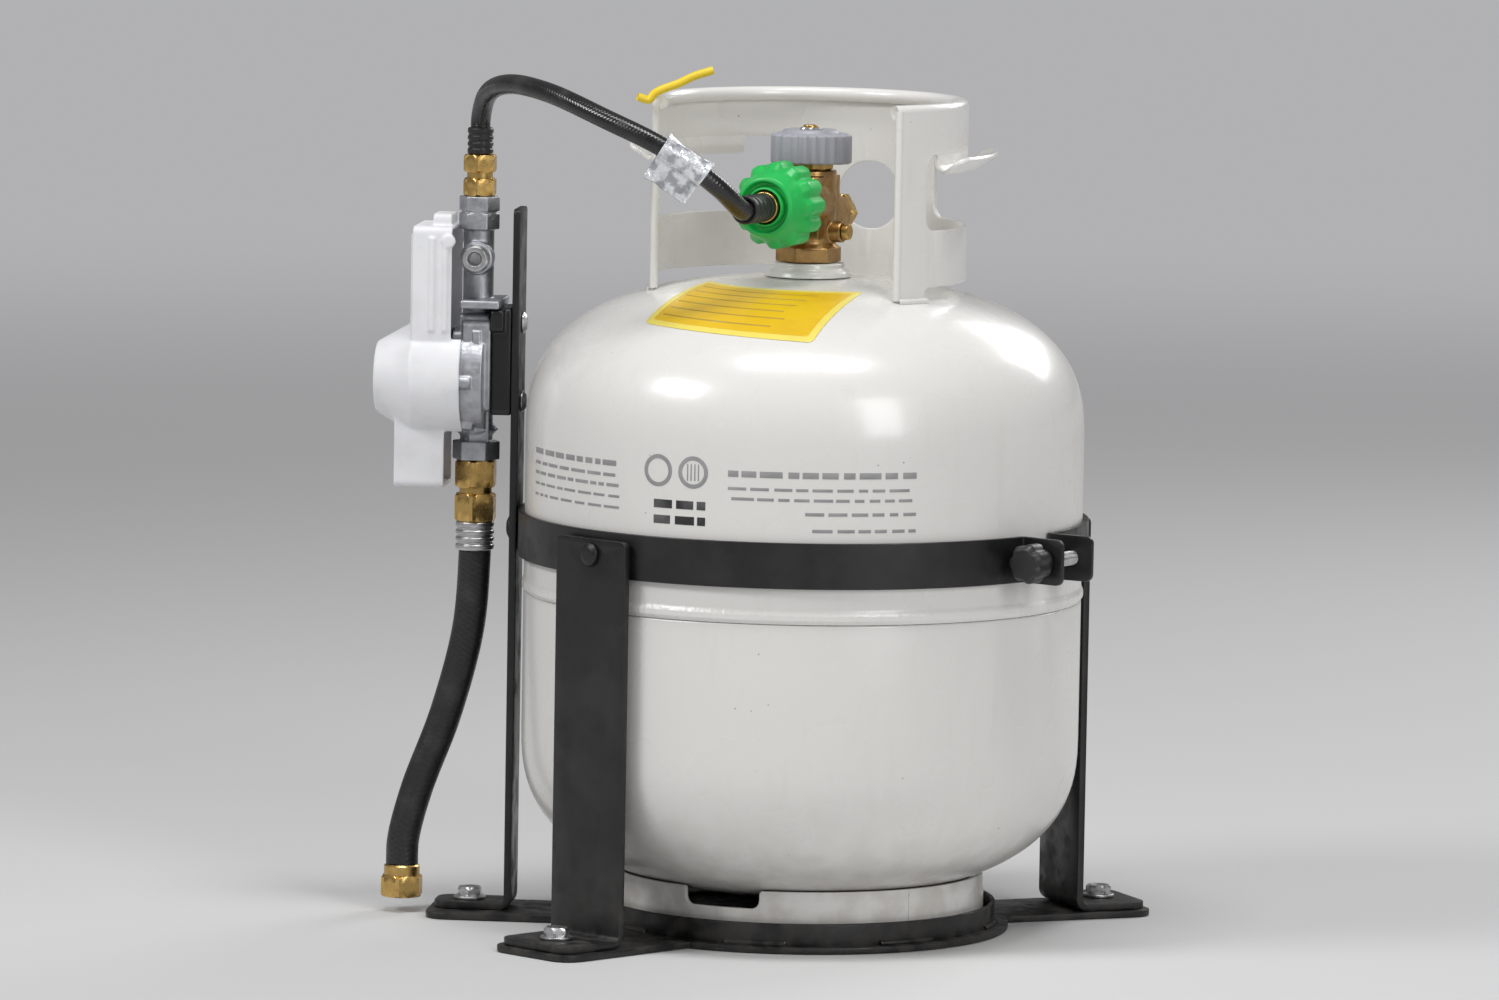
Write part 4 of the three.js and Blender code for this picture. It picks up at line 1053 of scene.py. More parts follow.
def grip_lip(side):
    """The tongue of sheet above a hand hole, rolled outwards into a grip."""
    inner = COLLAR_R - COLLAR_T
    top = DOME_TOP + HOLE_HIGH
    middle = inner + COLLAR_T / 2
    path = Bend(
        [
            (middle, top + 1.5), (middle, top - 6.5, 4.5),
            (inner + 6.2, top - 10.2, 4.0), (inner + 18.6, top - 1.6, 0),
        ],
        steps=10,
    )
    length = path.total
    start, end = LIP_FROM * rad(1) * middle, LIP_TO * rad(1) * middle
    outline = rounded([(start, 0, 0), (end, 0, 0), (end, length, 7.0), (start, length, 7.0)], 0.0, steps=8)

    def mapper(x, y, t):
        o, z = path.at(y, t)
        return round_the_axis(o, side * x / middle, z)

    return plate("grip_lip", outline, (), 2.3, 0.5, mapper, span(start, end, 2.6), span(0, length, 0.9))


def foot_weld(start, end):
    """The weld bead where the collar's foot meets the dome."""
    r = COLLAR_R + 0.6
    z = HIGH_TANGENT + dome_height(r) + 0.6
    turns = np.linspace(start + 0.8, end - 0.8, max(8, int(end - start)))
    points = [round_the_axis(r, rad(phi), z) for phi in turns]
    return weld("foot_weld", points, 1.9, 12, 1.5, 0.10, 2.2)


def build_rim_clip():
    """A yellow plastic cord hooked over the rim, its tail standing up inside."""
    rim = COLLAR_R - RIM_R
    points = [(13.0, -1.2), (8.0, -2.4), (5.2, 0.8), (0.5, 3.4), (-8.0, 6.4), (-17.0, 10.6), (-26.5, 13.6)]
    path = spline_points([(0.0, -(rim + o), COLLAR_TOP + z) for o, z in points], 8)
    clip = tube("rim_clip_cord", path, 2.3, 20, turn(-54.0), cap=1.4)
    stands_for(clip, "rim_clip")


# ---------------------------------------------------------------- shut-off valve
BOSS_TOP = DOME_TOP + 8
BARREL_TOP = DOME_TOP + 59
SEAT_Z = DOME_TOP + 37
RELIEF_Z = DOME_TOP + 33
BLEED_Z = DOME_TOP + 25.5
WHEEL_TOP = DOME_TOP + 80
STEM_LOW = DOME_TOP - 18
SPIGOT_LOW = STEM_LOW - 12


def thread(r, depth, pitch, start, end, sides=36):
    """A solid round bar along +Z with a trapezoid thread, as vertices and faces."""
    rows = math.ceil((end - start) / (pitch / 8))
    vertices = []
    for k in range(rows + 1):
        z = start + (end - start) * k / rows
        fade = min(1.0, (z - start) / pitch, (end - z) / pitch)
        for i in range(sides):
            share = i / sides
            phase = (z / pitch - share) % 1.0
            groove = min(1.0, max(0.0, 2.2 - 6.0 * abs(phase - 0.5)))
            reach = r - depth * (groove if fade > 0.3 else 1.0)
            vertices.append(round_the_axis(reach, 2 * math.pi * share, z))
    faces = [list(range(sides)), list(range(rows * sides, (rows + 1) * sides))]
    for k in range(rows):
        a, b = k * sides, (k + 1) * sides
        faces += [[a + i, a + (i + 1) % sides, b + (i + 1) % sides, b + i] for i in range(sides)]
    return vertices, faces


def moved(part, place):
    vertices, faces = part
    return [tuple(place @ Vector(v)) for v in vertices], faces


def build_valve_body():
    """The brass forging: barrel, threaded outlet, relief branch and bleed branch, all bored."""
    adds = [
        pillar(13.0, STEM_LOW, BOSS_TOP + 1),
        pillar(5.2, SPIGOT_LOW, STEM_LOW + 1),
        pillar(18.4, BOSS_TOP + 0.4, BOSS_TOP + 8.6, sides=6),
        pillar(17.2, BOSS_TOP + 8, BOSS_TOP + 11, sides=40, far=15.0),
        pillar(15, BOSS_TOP + 9, BARREL_TOP, sides=40),
        level(15.9, OUTLET_Z, 2, -24, 40),
        level(16.4, OUTLET_Z, -17, -22.5, 8, twist=22.5),
        moved(thread(16.6, 1.1, 5.08, 23.0, 48.0), outwards(OUTLET_Z)),
        level(11, RELIEF_Z, -3, 34, 36),
        level(12, RELIEF_Z, 12, 18, 6),
        bar(6, (1, 0, BLEED_Z), (21, 0, BLEED_Z), 24),
        block(-12.5, 12.5, -15.6, 13.5, BOSS_TOP + 14, BARREL_TOP - 3),
    ]
    cuts = [
        pillar(3.2, SPIGOT_LOW - 1, SEAT_Z + 1, sides=24),
        pillar(8.3, SEAT_Z, BARREL_TOP + 1),
        level(5, OUTLET_Z, -5, -19, 24),
        level(11, OUTLET_Z, -18, -49, 36),
        level(2.5, RELIEF_Z, 1, 13, 16),
        level(7.5, RELIEF_Z, 12, 35),
        bar(3.3, (12, 0, BLEED_Z), (22, 0, BLEED_Z), 20),
    ]
    # The forging takes the darker brass, which is painted shade.
    stands_for(cast("valve_body_forged", adds, cuts, 0.5, 3), "valve_body", look=SHADED_BRASS)


def build_handwheel():
    """A wheel with three low lobes, 24 ribs round its side and a hollow underneath."""
    z0, z1 = low("handwheel").z, WHEEL_TOP
    profile = rounded(
        [
            (4.3, z1 - 2, 0.3), (7, z1 - 2, 0.4), (7, z1 + 1.5, 0.5), (14.6, z1 + 1.5, 0.8),
            (16.0, z1 - 0.3, 0.8), (21.5, z1 - 0.3, 1.0), (24, z1 - 1.2, 1.2), (24, z0 + 0.8, 0.9),
            (23, z0, 0.8), (15.5, z0, 0.6), (15.5, z1 - 7, 0.6), (4.3, z1 - 7, 0.4),
        ],
        0.6,
        steps=3,
    )

    def lobes_and_ribs(theta, r, _):
        angle = theta - math.pi / 2
        ribs = 1.25 * (0.5 - 0.5 * math.cos(24 * angle)) ** 1.6
        return r - (2.2 - 2.2 * math.cos(3 * angle) + ribs) * smoothstep(17.0, 22.5, r)

    turned("handwheel", "moulded", profile, 0, 288, None, lobes_and_ribs, 55)


def build_stem():
    """What turns and lifts in the valve's barrel, and the packing nut that closes it."""
    z0, z1 = BARREL_TOP + 0.3, BARREL_TOP + 5.5
    bonnet = [
        (4.3, BARREL_TOP - 6), (8.0, BARREL_TOP - 6), (8.0, z0), *hex_zone(24.2, z0, z1),
        (10.5, z1), (9.6, BARREL_TOP + 8), (4.3, BARREL_TOP + 8),
    ]
    bonnet = revolve("packing_nut", bonnet, 96, shape=hex_shape(24.2, [(z0, z1)]))
    stands_for(bonnet, "valve_bonnet")
    spindle = [
        (0, SEAT_Z + 6.3), (4, SEAT_Z + 6.3), (4, SEAT_Z + 8), (7.5, SEAT_Z + 8),
        (7.5, SEAT_Z + 11), (4, SEAT_Z + 11), (4, WHEEL_TOP + 4), (0, WHEEL_TOP + 4),
    ]
    turned("valve_spindle", "turned", spindle, 0.5, 48)
    z0, z1 = WHEEL_TOP - 1.6, WHEEL_TOP + 2.6
    nut = [(4.3, z0), *hex_zone(11.2, z0, z1, 0.7), (4.3, z1)]
    stands_for(revolve("wheel_nut", nut, 96, shape=hex_shape(11.2, [(z0, z1)])), "handwheel_nut")
    z0, z1 = SEAT_Z + 0.3, SEAT_Z + 6
    turned("seat_disc", "moulded", [(0, z0), (7.5, z0), (7.5, z1), (0, z1)], 0.8, 48)


def build_relief():
    """The relief valve at the back of the valve body, and the bleed screw at its side."""
    behind = outwards(RELIEF_Z, 180)
    z0, z1 = 34.3, 42.0
    cap = [(3.0, 27), (7.2, 27), (7.2, z0), *hex_zone(20.7, z0, z1), (8, z1), (8, 39), (3, 39)]
    turned("relief_cap", "turned", cap, 0, 96, behind, hex_shape(20.7, [(z0, z1)]))
    poppet = [(0, 12.4), (5.5, 12.4), (5.5, 15.4), (2.0, 15.4), (2.0, 21), (0, 21)]
    turned("relief_poppet", "moulded", poppet, 0.6, 40, behind)
    spring = coil("relief_coil", 4.4, 0.7, 16.5, 25.9, 4, behind)
    stands_for(spring, "relief_spring")
    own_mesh(spring)
    screw = [(0, 12.5), (2.9, 12.5), (2.9, 21.3), (4.5, 21.3), (4.5, 24.4), (3.9, 25), (0, 25)]
    turned("bleed_screw", "turned", screw, 0.3, 48, sideways(0, BLEED_Z))


def coil(name, radius, wire, start, end, turns, place):
    """A compression spring along +Z whose pitch eases off towards both ends."""
    easing = 0.75
    steps = turns * 28
    rises = [0.0]
    for k in range(1, steps + 1):
        t = turns * k / steps
        rises.append(rises[-1] + 0.25 + min(1.0, t / easing, (turns - t) / easing))
    points = []
    for k, rise in enumerate(rises):
        a = 2 * math.pi * turns * k / steps
        points.append((radius * math.cos(a), radius * math.sin(a), start + (end - start) * rise / rises[-1]))
    return tube(name, points, wire, 12, place, cap=wire * 0.5)


# ---------------------------------------------------------------- hand coupling and hoses
FERRULE_FAR = 88.0
TAG_AT = 0.225  # share of the hose's length


def build_coupling():
    """The hand nut, and what it pulls against the outlet. Heights in profiles are distances outwards."""
    forward = outwards(OUTLET_Z)
    profile = rounded(
        [
            (16.95, 30.2, 0.5), (21.5, 30.2, 0.8), (24, 32, 1.4), (24, 47.5, 2.6), (20.2, 51.5, 2.2),
            (18.6, 55, 1.5), (16.6, 61.2, 1.6), (14.2, 62, 0.7), (13.5, 57.8, 0.8), (11.2, 57.8, 0.8),
            (10.7, 61.6, 0.6), (9.6, 61.6, 0.4), (9.6, 56, 0.3), (16.95, 56, 0.3),
        ],
        0.6,
        steps=3,
    )

    def scallops(theta, r, _):
        teeth = 0.5 - 0.5 * math.cos(12 * theta)
        return r - 2.7 * teeth ** 2.2 * smoothstep(19.0, 23.0, r)

    turned("coupling_nut", "moulded", profile, 0, 288, forward, scallops, 50)
    nipple = [
        (1.5, 35), (3.5, 35, 0.8), (6.5, 42, 1.0), (6.5, 49.6, 0.5), (14, 49.6, 0.5), (14, 54, 0.6),
        (8.5, 54, 0.6), (8.5, 63, 0.6), (2.4, 63, 0.3), (2.4, 80, 0.3), (1.5, 80, 0.2),
    ]
    turned("connector_nipple", "turned", nipple, 0.5, 72, forward)
    seal = [(6.8, 43), (9.4, 43, 0.6), (10.5, 45, 0.8), (10.5, 49.3), (6.8, 49.3)]
    turned("connector_seal", "moulded", seal, 0.4, 60, forward)
    crimped("connector_ferrule", 8.0, 6.1, 63.3, FERRULE_FAR, 4, forward)
    check = [(0, 19.5), (2.5, 19.5), (2.5, 24), (8, 24), (8, 29), (4, 29), (4, 34), (0, 34)]
    turned("outlet_check", "moulded", check, 0.5, 48, forward)


def crimped(node, outer, bore, start, end, rings, place, depth=0.55):
    """A pressed sleeve with shallow rings round it."""
    outside = [(bore, start), (outer - 0.6, start), (outer, start + 0.8)]
    pitch = (end - start - 4) / rings
    groove = ((0.2, 0.0), (0.35, depth), (0.65, depth), (0.8, 0.0))
    for k in range(rings):
        z = start + 2 + pitch * k
        outside += [(outer - dip, z + share * pitch) for share, dip in groove]
    outside += [(outer, end - 0.8), (outer - 0.6, end), (bore, end)]
    turned(node, "pressed", outside, 0.5, 72, place)


def pigtail_path():
    """From inside the connector's ferrule, over in an arc, down to the regulator's inlet."""
    rise = [(0, 14 - FERRULE_FAR), (0, 7 - FERRULE_FAR), (0, -2 - FERRULE_FAR)]
    arc = [
        (-7, -109, OUTLET_Z + 14), (-32, -123, 438), (-68, -124, 453),
        (-108, -112, 465), (-143, -90, 467), (-166, -68, 459),
    ]
    end = round_the_axis(REG_O, rad(POST_PHI), REG_TOP)
    return [
        *[(x, y, OUTLET_Z) for x, y in rise],
        *arc,
        *[(end[0], end[1], end[2] + up) for up in (43, 34, 25)],
    ]


def build_hoses():
    """The pigtail to the valve with its tag, and the supply hose hanging from the regulator."""
    path = spline_points(pigtail_path(), 12)
    pigtail = tube("pigtail_hose_jacket", path, 5.5, 32, bore=3.0)
    stands_for(pigtail, "pigtail_hose", look=GLOSSY_HOSE)
    build_tag(path)
    controls = [(184, 219), (184, 200), (187, 160), (199, 112), (215, 68), (222, 40), (222.5, 26.6)]
    path = spline_points([(0, -o, z) for o, z in controls], 12)
    supply = tube("supply_hose_jacket", path, 9.0, 40, turn(POST_PHI), bore=5.0)
    stands_for(supply, "supply_hose")


def tag_section():
    """The tag's outline across the hose: round it, then a doubled flap below."""
    flap = [(0.5, -19.5), (0.55, -14.5), (0.6, -9.5)]
    turns = [rad(-82 + 344 * k / 18) for k in range(19)]
    wrap = [(7.0 * math.cos(a), 7.0 * math.sin(a)) for a in turns]
    return [*flap, *wrap, *[(-x, y) for x, y in reversed(flap)]]


def build_tag(path):
    """A foil label wrapped round the hose and pinched together below it, crumpled by handling."""
    lengths = lengths_along(path)
    i = int(np.searchsorted(lengths, TAG_AT * lengths[-1]))
    middle = path[i]
    along = (path[i + 1] - path[i - 1]).normalized()
    across = along.cross(Vector((0, 0, 1))).normalized()
    up = across.cross(along).normalized()
    loop = tag_section()
    chance = random.Random(11)
    limits = ((0.12, 0.5), (0.1, 0.5), (0, 6.3), (0.3, 1.0))
    waves = [[chance.uniform(*limit) for limit in limits] for _ in range(9)]

    def crumple(u, v):
        return sum(size * math.sin(fu * u + fv * v + shift) for fu, fv, shift, size in waves) / 3.0

    half, steps = 14.0, 26
    vertices, faces = [], []
    for row in range(steps + 1):
        u = -half + 2 * half * row / steps
        for k, (x, y) in enumerate(loop):
            flag = smoothstep(-6.0, -14.0, y)
            push = crumple(u, 2.2 * k) * (0.75 + 1.4 * flag)
            out = Vector((x, y)).normalized() if not flag else Vector((0.0, 0.0))
            swell = abs(push) + 1.8 * (u / half) ** 2
            x2 = x + out.x * swell + flag * push * 0.9
            y2 = y + out.y * swell + flag * 0.9 * crumple(u + 9.0, 3.0)
            lean = u + 0.10 * (y2 + 7) * math.sin(0.2 * u)
            vertices.append(middle + along * lean + across * x2 + up * y2)
    width = len(loop)
    for row in range(steps):
        for k in range(width - 1):
            a = row * width + k
            faces.append((a, a + 1, a + width + 1, a + width))
    tag = mesh_from("hose_tag_foil", vertices, faces, sharp=180)
    solidify = tag.modifiers.new("thickness", "SOLIDIFY")
    solidify.thickness = 0.22 * MM
    solidify.offset = 0
    smooth = tag.modifiers.new("smooth", "SUBSURF")
    smooth.levels = smooth.render_levels = 1
    apply_modifiers(tag)
    stands_for(tag, "hose_tag")


# ---------------------------------------------------------------- regulator
def prism(outline, start, end):
    """An outline in (x, z) pushed along y."""
    count = len(outline)
    vertices = [(x, depth, z) for depth in (start, end) for x, z in outline]
    faces = [[i, (i + 1) % count, count + (i + 1) % count, count + i] for i in range(count)]
    return vertices, [*faces, list(range(count)), list(range(count, 2 * count))]


def build_regulator_body():
    """The casting, with the diaphragm's case in front and threaded ends above and below."""
    y = -REG_O
    z = REG_Z
    adds = [
        prism(rectangle(-19, z - 17, 19, z + 34, 4.0), -190, -174.5),
        prism(rectangle(-15.5, z - 12, 15.5, z + 37, 3.0), -192.5, -176),
        prism(rectangle(-22, z + 40.6, 22, z + 45.2, 1.2), -191, -169.5),
        block(-3, 3, -190, -176, z + 33, z + 42),
        block(-20.2, -18, -184, -180, z - 10, z + 28),
        block(18, 20.2, -184, -180, z - 10, z + 28),
        pillar(8.5, z + 38, REG_TOP - 18, y),
        pillar(11.4, REG_TOP - 18.5, REG_TOP - 9.5, y, 6),
        pillar(9.6, REG_TOP - 10, REG_TOP - 8, y, 32),
        pillar(11.4, REG_TOP - 8.2, REG_TOP, y, 6),
        bar(9.2, (0, y, REG_TOP - 34), (11, y, REG_TOP - 34)),
        bar(7.5, (0, y, REG_TOP - 34), (15, y, REG_TOP - 34)),
        level(29, z, -178, -196, 64),
        pillar(9, REG_LOW + 10, z - 16, y),
        pillar(12.4, REG_LOW + 17, REG_LOW + 20, y, 32, 9.2),
        pillar(9.2, REG_LOW + 13.5, REG_LOW + 17, y, 32, 12.4),
        pillar(13.4, REG_LOW, REG_LOW + 10.5, y, 6),
    ]
    for side in (-1, 1):
        adds.append(block(side * 8 - 1.5, side * 8 + 1.5, y - 3, y + 8, REG_LOW + 10, z - 15))
    for k in range(6):
        a = rad(60 * k + 30)
        at_x, at_z = 27.5 * math.sin(a), z + 27.5 * math.cos(a)
        adds.append(bar(4.0, (at_x, -184, at_z), (at_x, -195.9, at_z), 20))
    lugs = [block(x, x + 2.5, -185, -179, z + 11.1, z + 17.1) for x in (-6.5, 4)]
    cuts = [
        level(24, z, -180, -197, 64),
        pillar(4, z + 32, REG_TOP + 1, y, 24),
        pillar(1.5, z + 20, z + 33, -186, 12),
        pillar(5, REG_LOW - 1, z - 18, y, 24),
        bar(5.3, (9, y, REG_TOP - 34), (16, y, REG_TOP - 34), 24),
        *[level(3, at, -160, -174, 20) for at in REG_SCREWS],
    ]
    here = turn(POST_PHI)
    body = cast("regulator_body_cast", adds, cuts, 0.55, 3, here)
    pin_hole = bar(1.5, (-8, -182.6, z + 14.6), (8, -182.6, z + 14.6), 16)
    body = joined("regulator_body_cast", body, cast("lever_lugs", lugs, [pin_hole], 0.4, 1, here))
    body.data.shade_smooth()
    stands_for(body, "regulator_body")


def build_regulator_bracket():
    """The block between the regulator and its post."""
    back = [
        prism(rectangle(-16, REG_Z - 19, 16, REG_Z + 41, 3.0), -174.2, -163.4),
        prism(rectangle(-21, REG_Z + 28, 21, REG_Z + 40, 2.0), -174.2, -167),
    ]
    holes = [level(3, at, -160, -176, 20) for at in REG_SCREWS]
    bracket = cast("regulator_bracket", back, holes, 0.7, 2, turn(POST_PHI))
    stands_for(bracket, body="tank", slot="black_paint")


def cover_solids(inset):
    """The cover's outside, or with an inset the hollow inside it."""
    z = REG_Z
    drum = 32.5 - inset
    back = -182 if inset else -190
    face = 240 - inset
    top = rectangle(-24 + inset, z + 14, 24 - inset, COVER_TOP - inset, 4.0 - inset)
    low_part = rectangle(-17 + inset, z - 60 + inset, 17 - inset, z - 8, 3.5 - inset)
    return [
        prism(top, -218 + inset, -182 if inset else -196),
        level(drum, z, back, -218 + inset, 72),
        level(drum, z, -217.9 + inset, -face, 72, 19.5 - inset),
        prism(low_part, -228 + inset, -182 if inset else -200),
    ]


def build_cover():
    """The plastic cover: a drum, a box above and below it, low ribs and a tab on top."""
    z = REG_Z
    adds = cover_solids(0)
    for x in (-18.5, -6.5, 6.5, 18.5):
        adds.append(block(x - 1.3, x + 1.3, -219.4, -216, z + 30, COVER_TOP - 5))
    for side in (-1, 1):
        for depth in (-207.0, -199.5):
            inner, outer = sorted((side * 21, side * 25.3))
            adds.append(block(inner, outer, depth - 1.3, depth + 1.3, z + 28, COVER_TOP - 6))
        low_edge = COVER_TOP - 8
        adds.append(bar(3.6, (side * 16, -197.5, low_edge), (side * 25.6, -197.5, low_edge), 24))
    adds.append(prism(rectangle(-10, COVER_TOP - 4, 14, COVER_TOP + 6.5, 3.5), -208, -197.5))
    cuts = cover_solids(2.0)
    cuts += [block(-11 + 6 * k, -8 + 6 * k, -222, -206, z - 62, z - 57) for k in range(4)]
    cover = cast("regulator_cover_moulded", adds, cuts, 0.7, 3, turn(POST_PHI))
    stands_for(cover, "regulator_cover")


def two_hex(low_z, high_z, flats, bore, plug_r, plug_z):
    """A fitting with two hexagons and a round waist; its threaded plug runs to plug_z."""
    middle = (low_z + high_z) / 2
    waist = flats * 0.42
    zones = [(low_z, middle - 1.8), (middle + 1.8, high_z)]
    below, above = (hex_zone(flats, *zone, 0.9) for zone in zones)
    run = [(bore, low_z), *below, (waist, middle - 1.6), (waist, middle + 1.6), *above]
    if plug_z > high_z:
        run += [(plug_r, high_z), (plug_r, plug_z), (bore, plug_z)]
    else:
        run = [(bore, plug_z), (plug_r, plug_z), (plug_r, low_z), *run[1:], (bore, high_z)]
    return run, hex_shape(flats, zones)


def build_fittings():
    """Fittings and crimped sleeves at the regulator's ends, the hose's swivel nut and the port's plug."""
    here = upright_at(REG_O, POST_PHI)
    run, rule = two_hex(REG_TOP + 0.3, REG_TOP + 23, 17.2, 3.2, 3.7, REG_TOP - 9)
    turned("inlet_fitting", "turned", run, 0, 96, here, rule)
    crimped("inlet_ferrule", 7.2, 6.1, REG_TOP + 23.3, REG_TOP + 38, 3, here)
    top = REG_LOW - 0.3
    run, rule = two_hex(top - 34, top, 21.6, 2.6, 4.7, REG_LOW + 9)
    turned("outlet_fitting", "turned", run, 0, 96, here, rule)
    crimped("outlet_ferrule", 10.8, 9.3, top - 50.3, top - 34.3, 3, here, 0.7)
    end = upright_at(222.5, POST_PHI)
    swivel = [(8, 8), *hex_zone(21.6, 8, 20), (10, 20), (10, 25.2), (9.2, 26), (4, 26), (4, 16), (8, 16)]
    swivel = revolve("swivel_nut_turned", swivel, 96, end, hex_shape(21.6, [(8, 20)]))
    stands_for(swivel, "supply_swivel_nut")
    plug = [
        (0, 9.3), (4.9, 9.3), (4.9, 15.3), (8.0, 15.3), (8.0, 17.2),
        (6.6, 19), (4.2, 19), (3.4, 17.8), (3.4, 10.8), (0, 10.8),
    ]
    turned("port_plug", "turned", plug, 0.4, 64, sideways(-REG_O, REG_TOP - 34, POST_PHI))


def build_regulator_works():
    """What is behind the cover."""
    facing = outwards(REG_Z, POST_PHI)
    spring = coil("regulator_coil", 8.0, 0.9, 200.8, 217.0, 4, facing)
    stands_for(spring, "regulator_spring")
    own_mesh(spring)
    under = [(2.8, 197.1), (18.5, 197.1, 1.0), (23.5, 196.1, 1.0), (28, 196.1)]
    over = [(28, 196.7), (23.5, 196.7, 1.0), (18.5, 197.7, 1.0), (2.8, 197.7)]
    sheet = revolve("diaphragm_moulded", rounded([*under, *over], 0.2), 72, facing)
    rim, middle = (turn(POST_PHI) @ Vector((0, -o * MM, REG_Z * MM)) for o in (196.7, 197.1))
    stands_for(sheet, "diaphragm", bend=("tank", "diaphragm_plate", tuple(rim), tuple(middle)))
    disc = [(0, 189.5), (2.4, 189.5), (2.4, 198), (15, 198), (17, 198.6), (17, 199.5), (0, 199.5)]
    turned("diaphragm_plate", "pressed", disc, 0.3, 64, facing)
    cap = [
        (0, 220), (9.8, 220), (9.8, 226.3), (12.5, 226.3), (12.5, 230),
        (11.5, 231), (4, 231), (3, 229.6), (0, 229.6),
    ]
    turned("adjuster_cap", "moulded", cap, 0.5, 64, facing)
    shell = [
        (29, 197.6), (29, 201), (26, 202), (22, 213), (13, 216), (13, 226),
        (10.3, 226), (10.3, 219), (11.5, 213), (20, 210), (23, 201), (23, 197.6),
    ]
    turned("regulator_bonnet", "cast", shell, 1.2, 96, facing)


# ---------------------------------------------------------------- hold-down bracket
def arm_edge(away):
    """How far an arm of the base plate reaches, in a direction that far from its middle line."""
    across, along = abs(math.sin(away)), math.cos(away)
    if along <= 0:
        return 0.0
    pivot = Vector((ARM_W / 2 - ARM_CORNER, ARM_REACH - ARM_CORNER))
    reach = min(ARM_REACH / along, ARM_W / 2 / max(across, 1e-6))
    if reach * across > pivot.x and reach * along > pivot.y:
        straight = across * pivot.x + along * pivot.y
        reach = straight + math.sqrt(max(straight ** 2 - pivot.length_squared + ARM_CORNER ** 2, 0.0))
    return reach


def build_base_plate():
    """A disc with three arms, and a welded ring that the cylinder's foot sits in."""
    outline = []
    for angle in np.linspace(0, 2 * math.pi, 900, endpoint=False):
        reach = HUB_R
        for phi in FOOT_PHIS:
            reach = soft_max(reach, arm_edge(angle - rad(phi)), 4.0)
        outline.append(round_the_axis(reach, angle, 0)[:2])
    spots = [(FOOT_BOLT_O, phi, 4.3, 24) for phi in FOOT_PHIS]
    spots += [(72, phi, 5.5, 28) for phi in (45, 135, 225, 315)]
    holes = [circle(*round_the_axis(o, rad(phi), 0)[:2], r, count) for o, phi, r, count in spots]
    lifted = Matrix.Translation((0, 0, PLATE_T / 2))
    sheet = plate("base_plate_cut", outline, holes, PLATE_T, 0.5, place=lifted)
    inner, outer, low_z, high_z = 108, 110.5, PLATE_T - 0.6, 15.5
    ring = rounded([(inner, low_z), (outer, low_z), (outer, high_z, 0.8), (inner, high_z, 0.8)], 0.2)
    ring = revolve("locating_ring", ring, 144)
    welds = []
    for k in range(8):
        turns = np.linspace(rad(45 * k + 4), rad(45 * k + 20), 16)
        arc = [round_the_axis(outer + 0.4, a, PLATE_T + 0.7) for a in turns]
        welds.append(weld("ring_weld", arc, 1.7, 10, 1.4, 0.14, 2.4))
    base = joined("base_plate_welded", sheet, ring, *welds)
    stands_for(shade(base), "base_plate")


def soft_max(a, b, width):
    """The larger of two lengths, with a fillet where they are within width of each other."""
    gap = max(width - abs(a - b), 0.0) / width
    return max(a, b) + gap * gap * width / 4


def bent_bar(name, height, width, holes):
    """A flat bar down the side of the cylinder, its foot bent outwards. holes are (x, length, r)."""
    o = BAR_IN + BAR_T / 2
    path = Bend([(o, height), (o, FOOT_Z, FOOT_BEND), (ARM_REACH - 3, FOOT_Z)], steps=10)
    half = width / 2
    length = path.total
    outline = [(-half, 0, 3.0), (half, 0, 3.0), (half, length, 9.0), (-half, length, 9.0)]

    def mapper(x, y, t):
        out, z = path.at(y, t)
        return (x, -out, z)

    bend, flat = height - FOOT_Z - 8, height - FOOT_Z + 8
    cuts = [*span(0, bend, 25.0), *span(bend, flat, 1.0), *span(flat, length, 12.0)]
    hole_lines = [circle(x, at, r, 24) for x, at, r in holes]
    return plate(name, rounded(outline, 3.0, steps=6), hole_lines, BAR_T, 0.55, mapper, (), cuts)


STANDS = (
    ("front", FRONT_PHI, 226, BAR_W),
    ("rear", REAR_PHI, 226, BAR_W),
    ("post", POST_PHI, 396, POST_W),
)
RIVET = (
    (0, 155.8), (3.1, 155.8), (3.1, 163.3), (6.4, 163.3, 0.2),
    (6.1, 164.9, 0.8), (3.8, 166.0, 1.0), (0, 166.3),
)


def build_uprights():
    """Three bars, each with a bolt through its foot and a rivet to the band."""
    rivet_profile = rounded(RIVET, 0.4, closed=False)
    saved_by_bend = FOOT_BEND * (2 - math.pi / 2)
    for label, phi, height, width in STANDS:
        to_bolt = (height - FOOT_Z) + (FOOT_BOLT_O - BAR_IN - BAR_T / 2) - saved_by_bend
        holes = [(0, height - BAND_Z, 3.5), (0, to_bolt, 4.3)]
        if label == "post":
            holes += [(0, height - z, 3.0) for z in REG_SCREWS]
        stand = bent_bar(f"{label}_bar", height, width, holes)
        stand.data.transform(turn(phi))
        node = "regulator_post" if label == "post" else f"{label}_upright"
        stands_for(stand, node)
        stands_for(foot_bolt(f"{label}_foot_hex_bolt", phi), f"{label}_foot_bolt")
        rivet = revolve(f"{label}_rivet", rivet_profile, 48, outwards(BAND_Z, phi))
        stands_for(rivet, f"{label}_band_rivet")


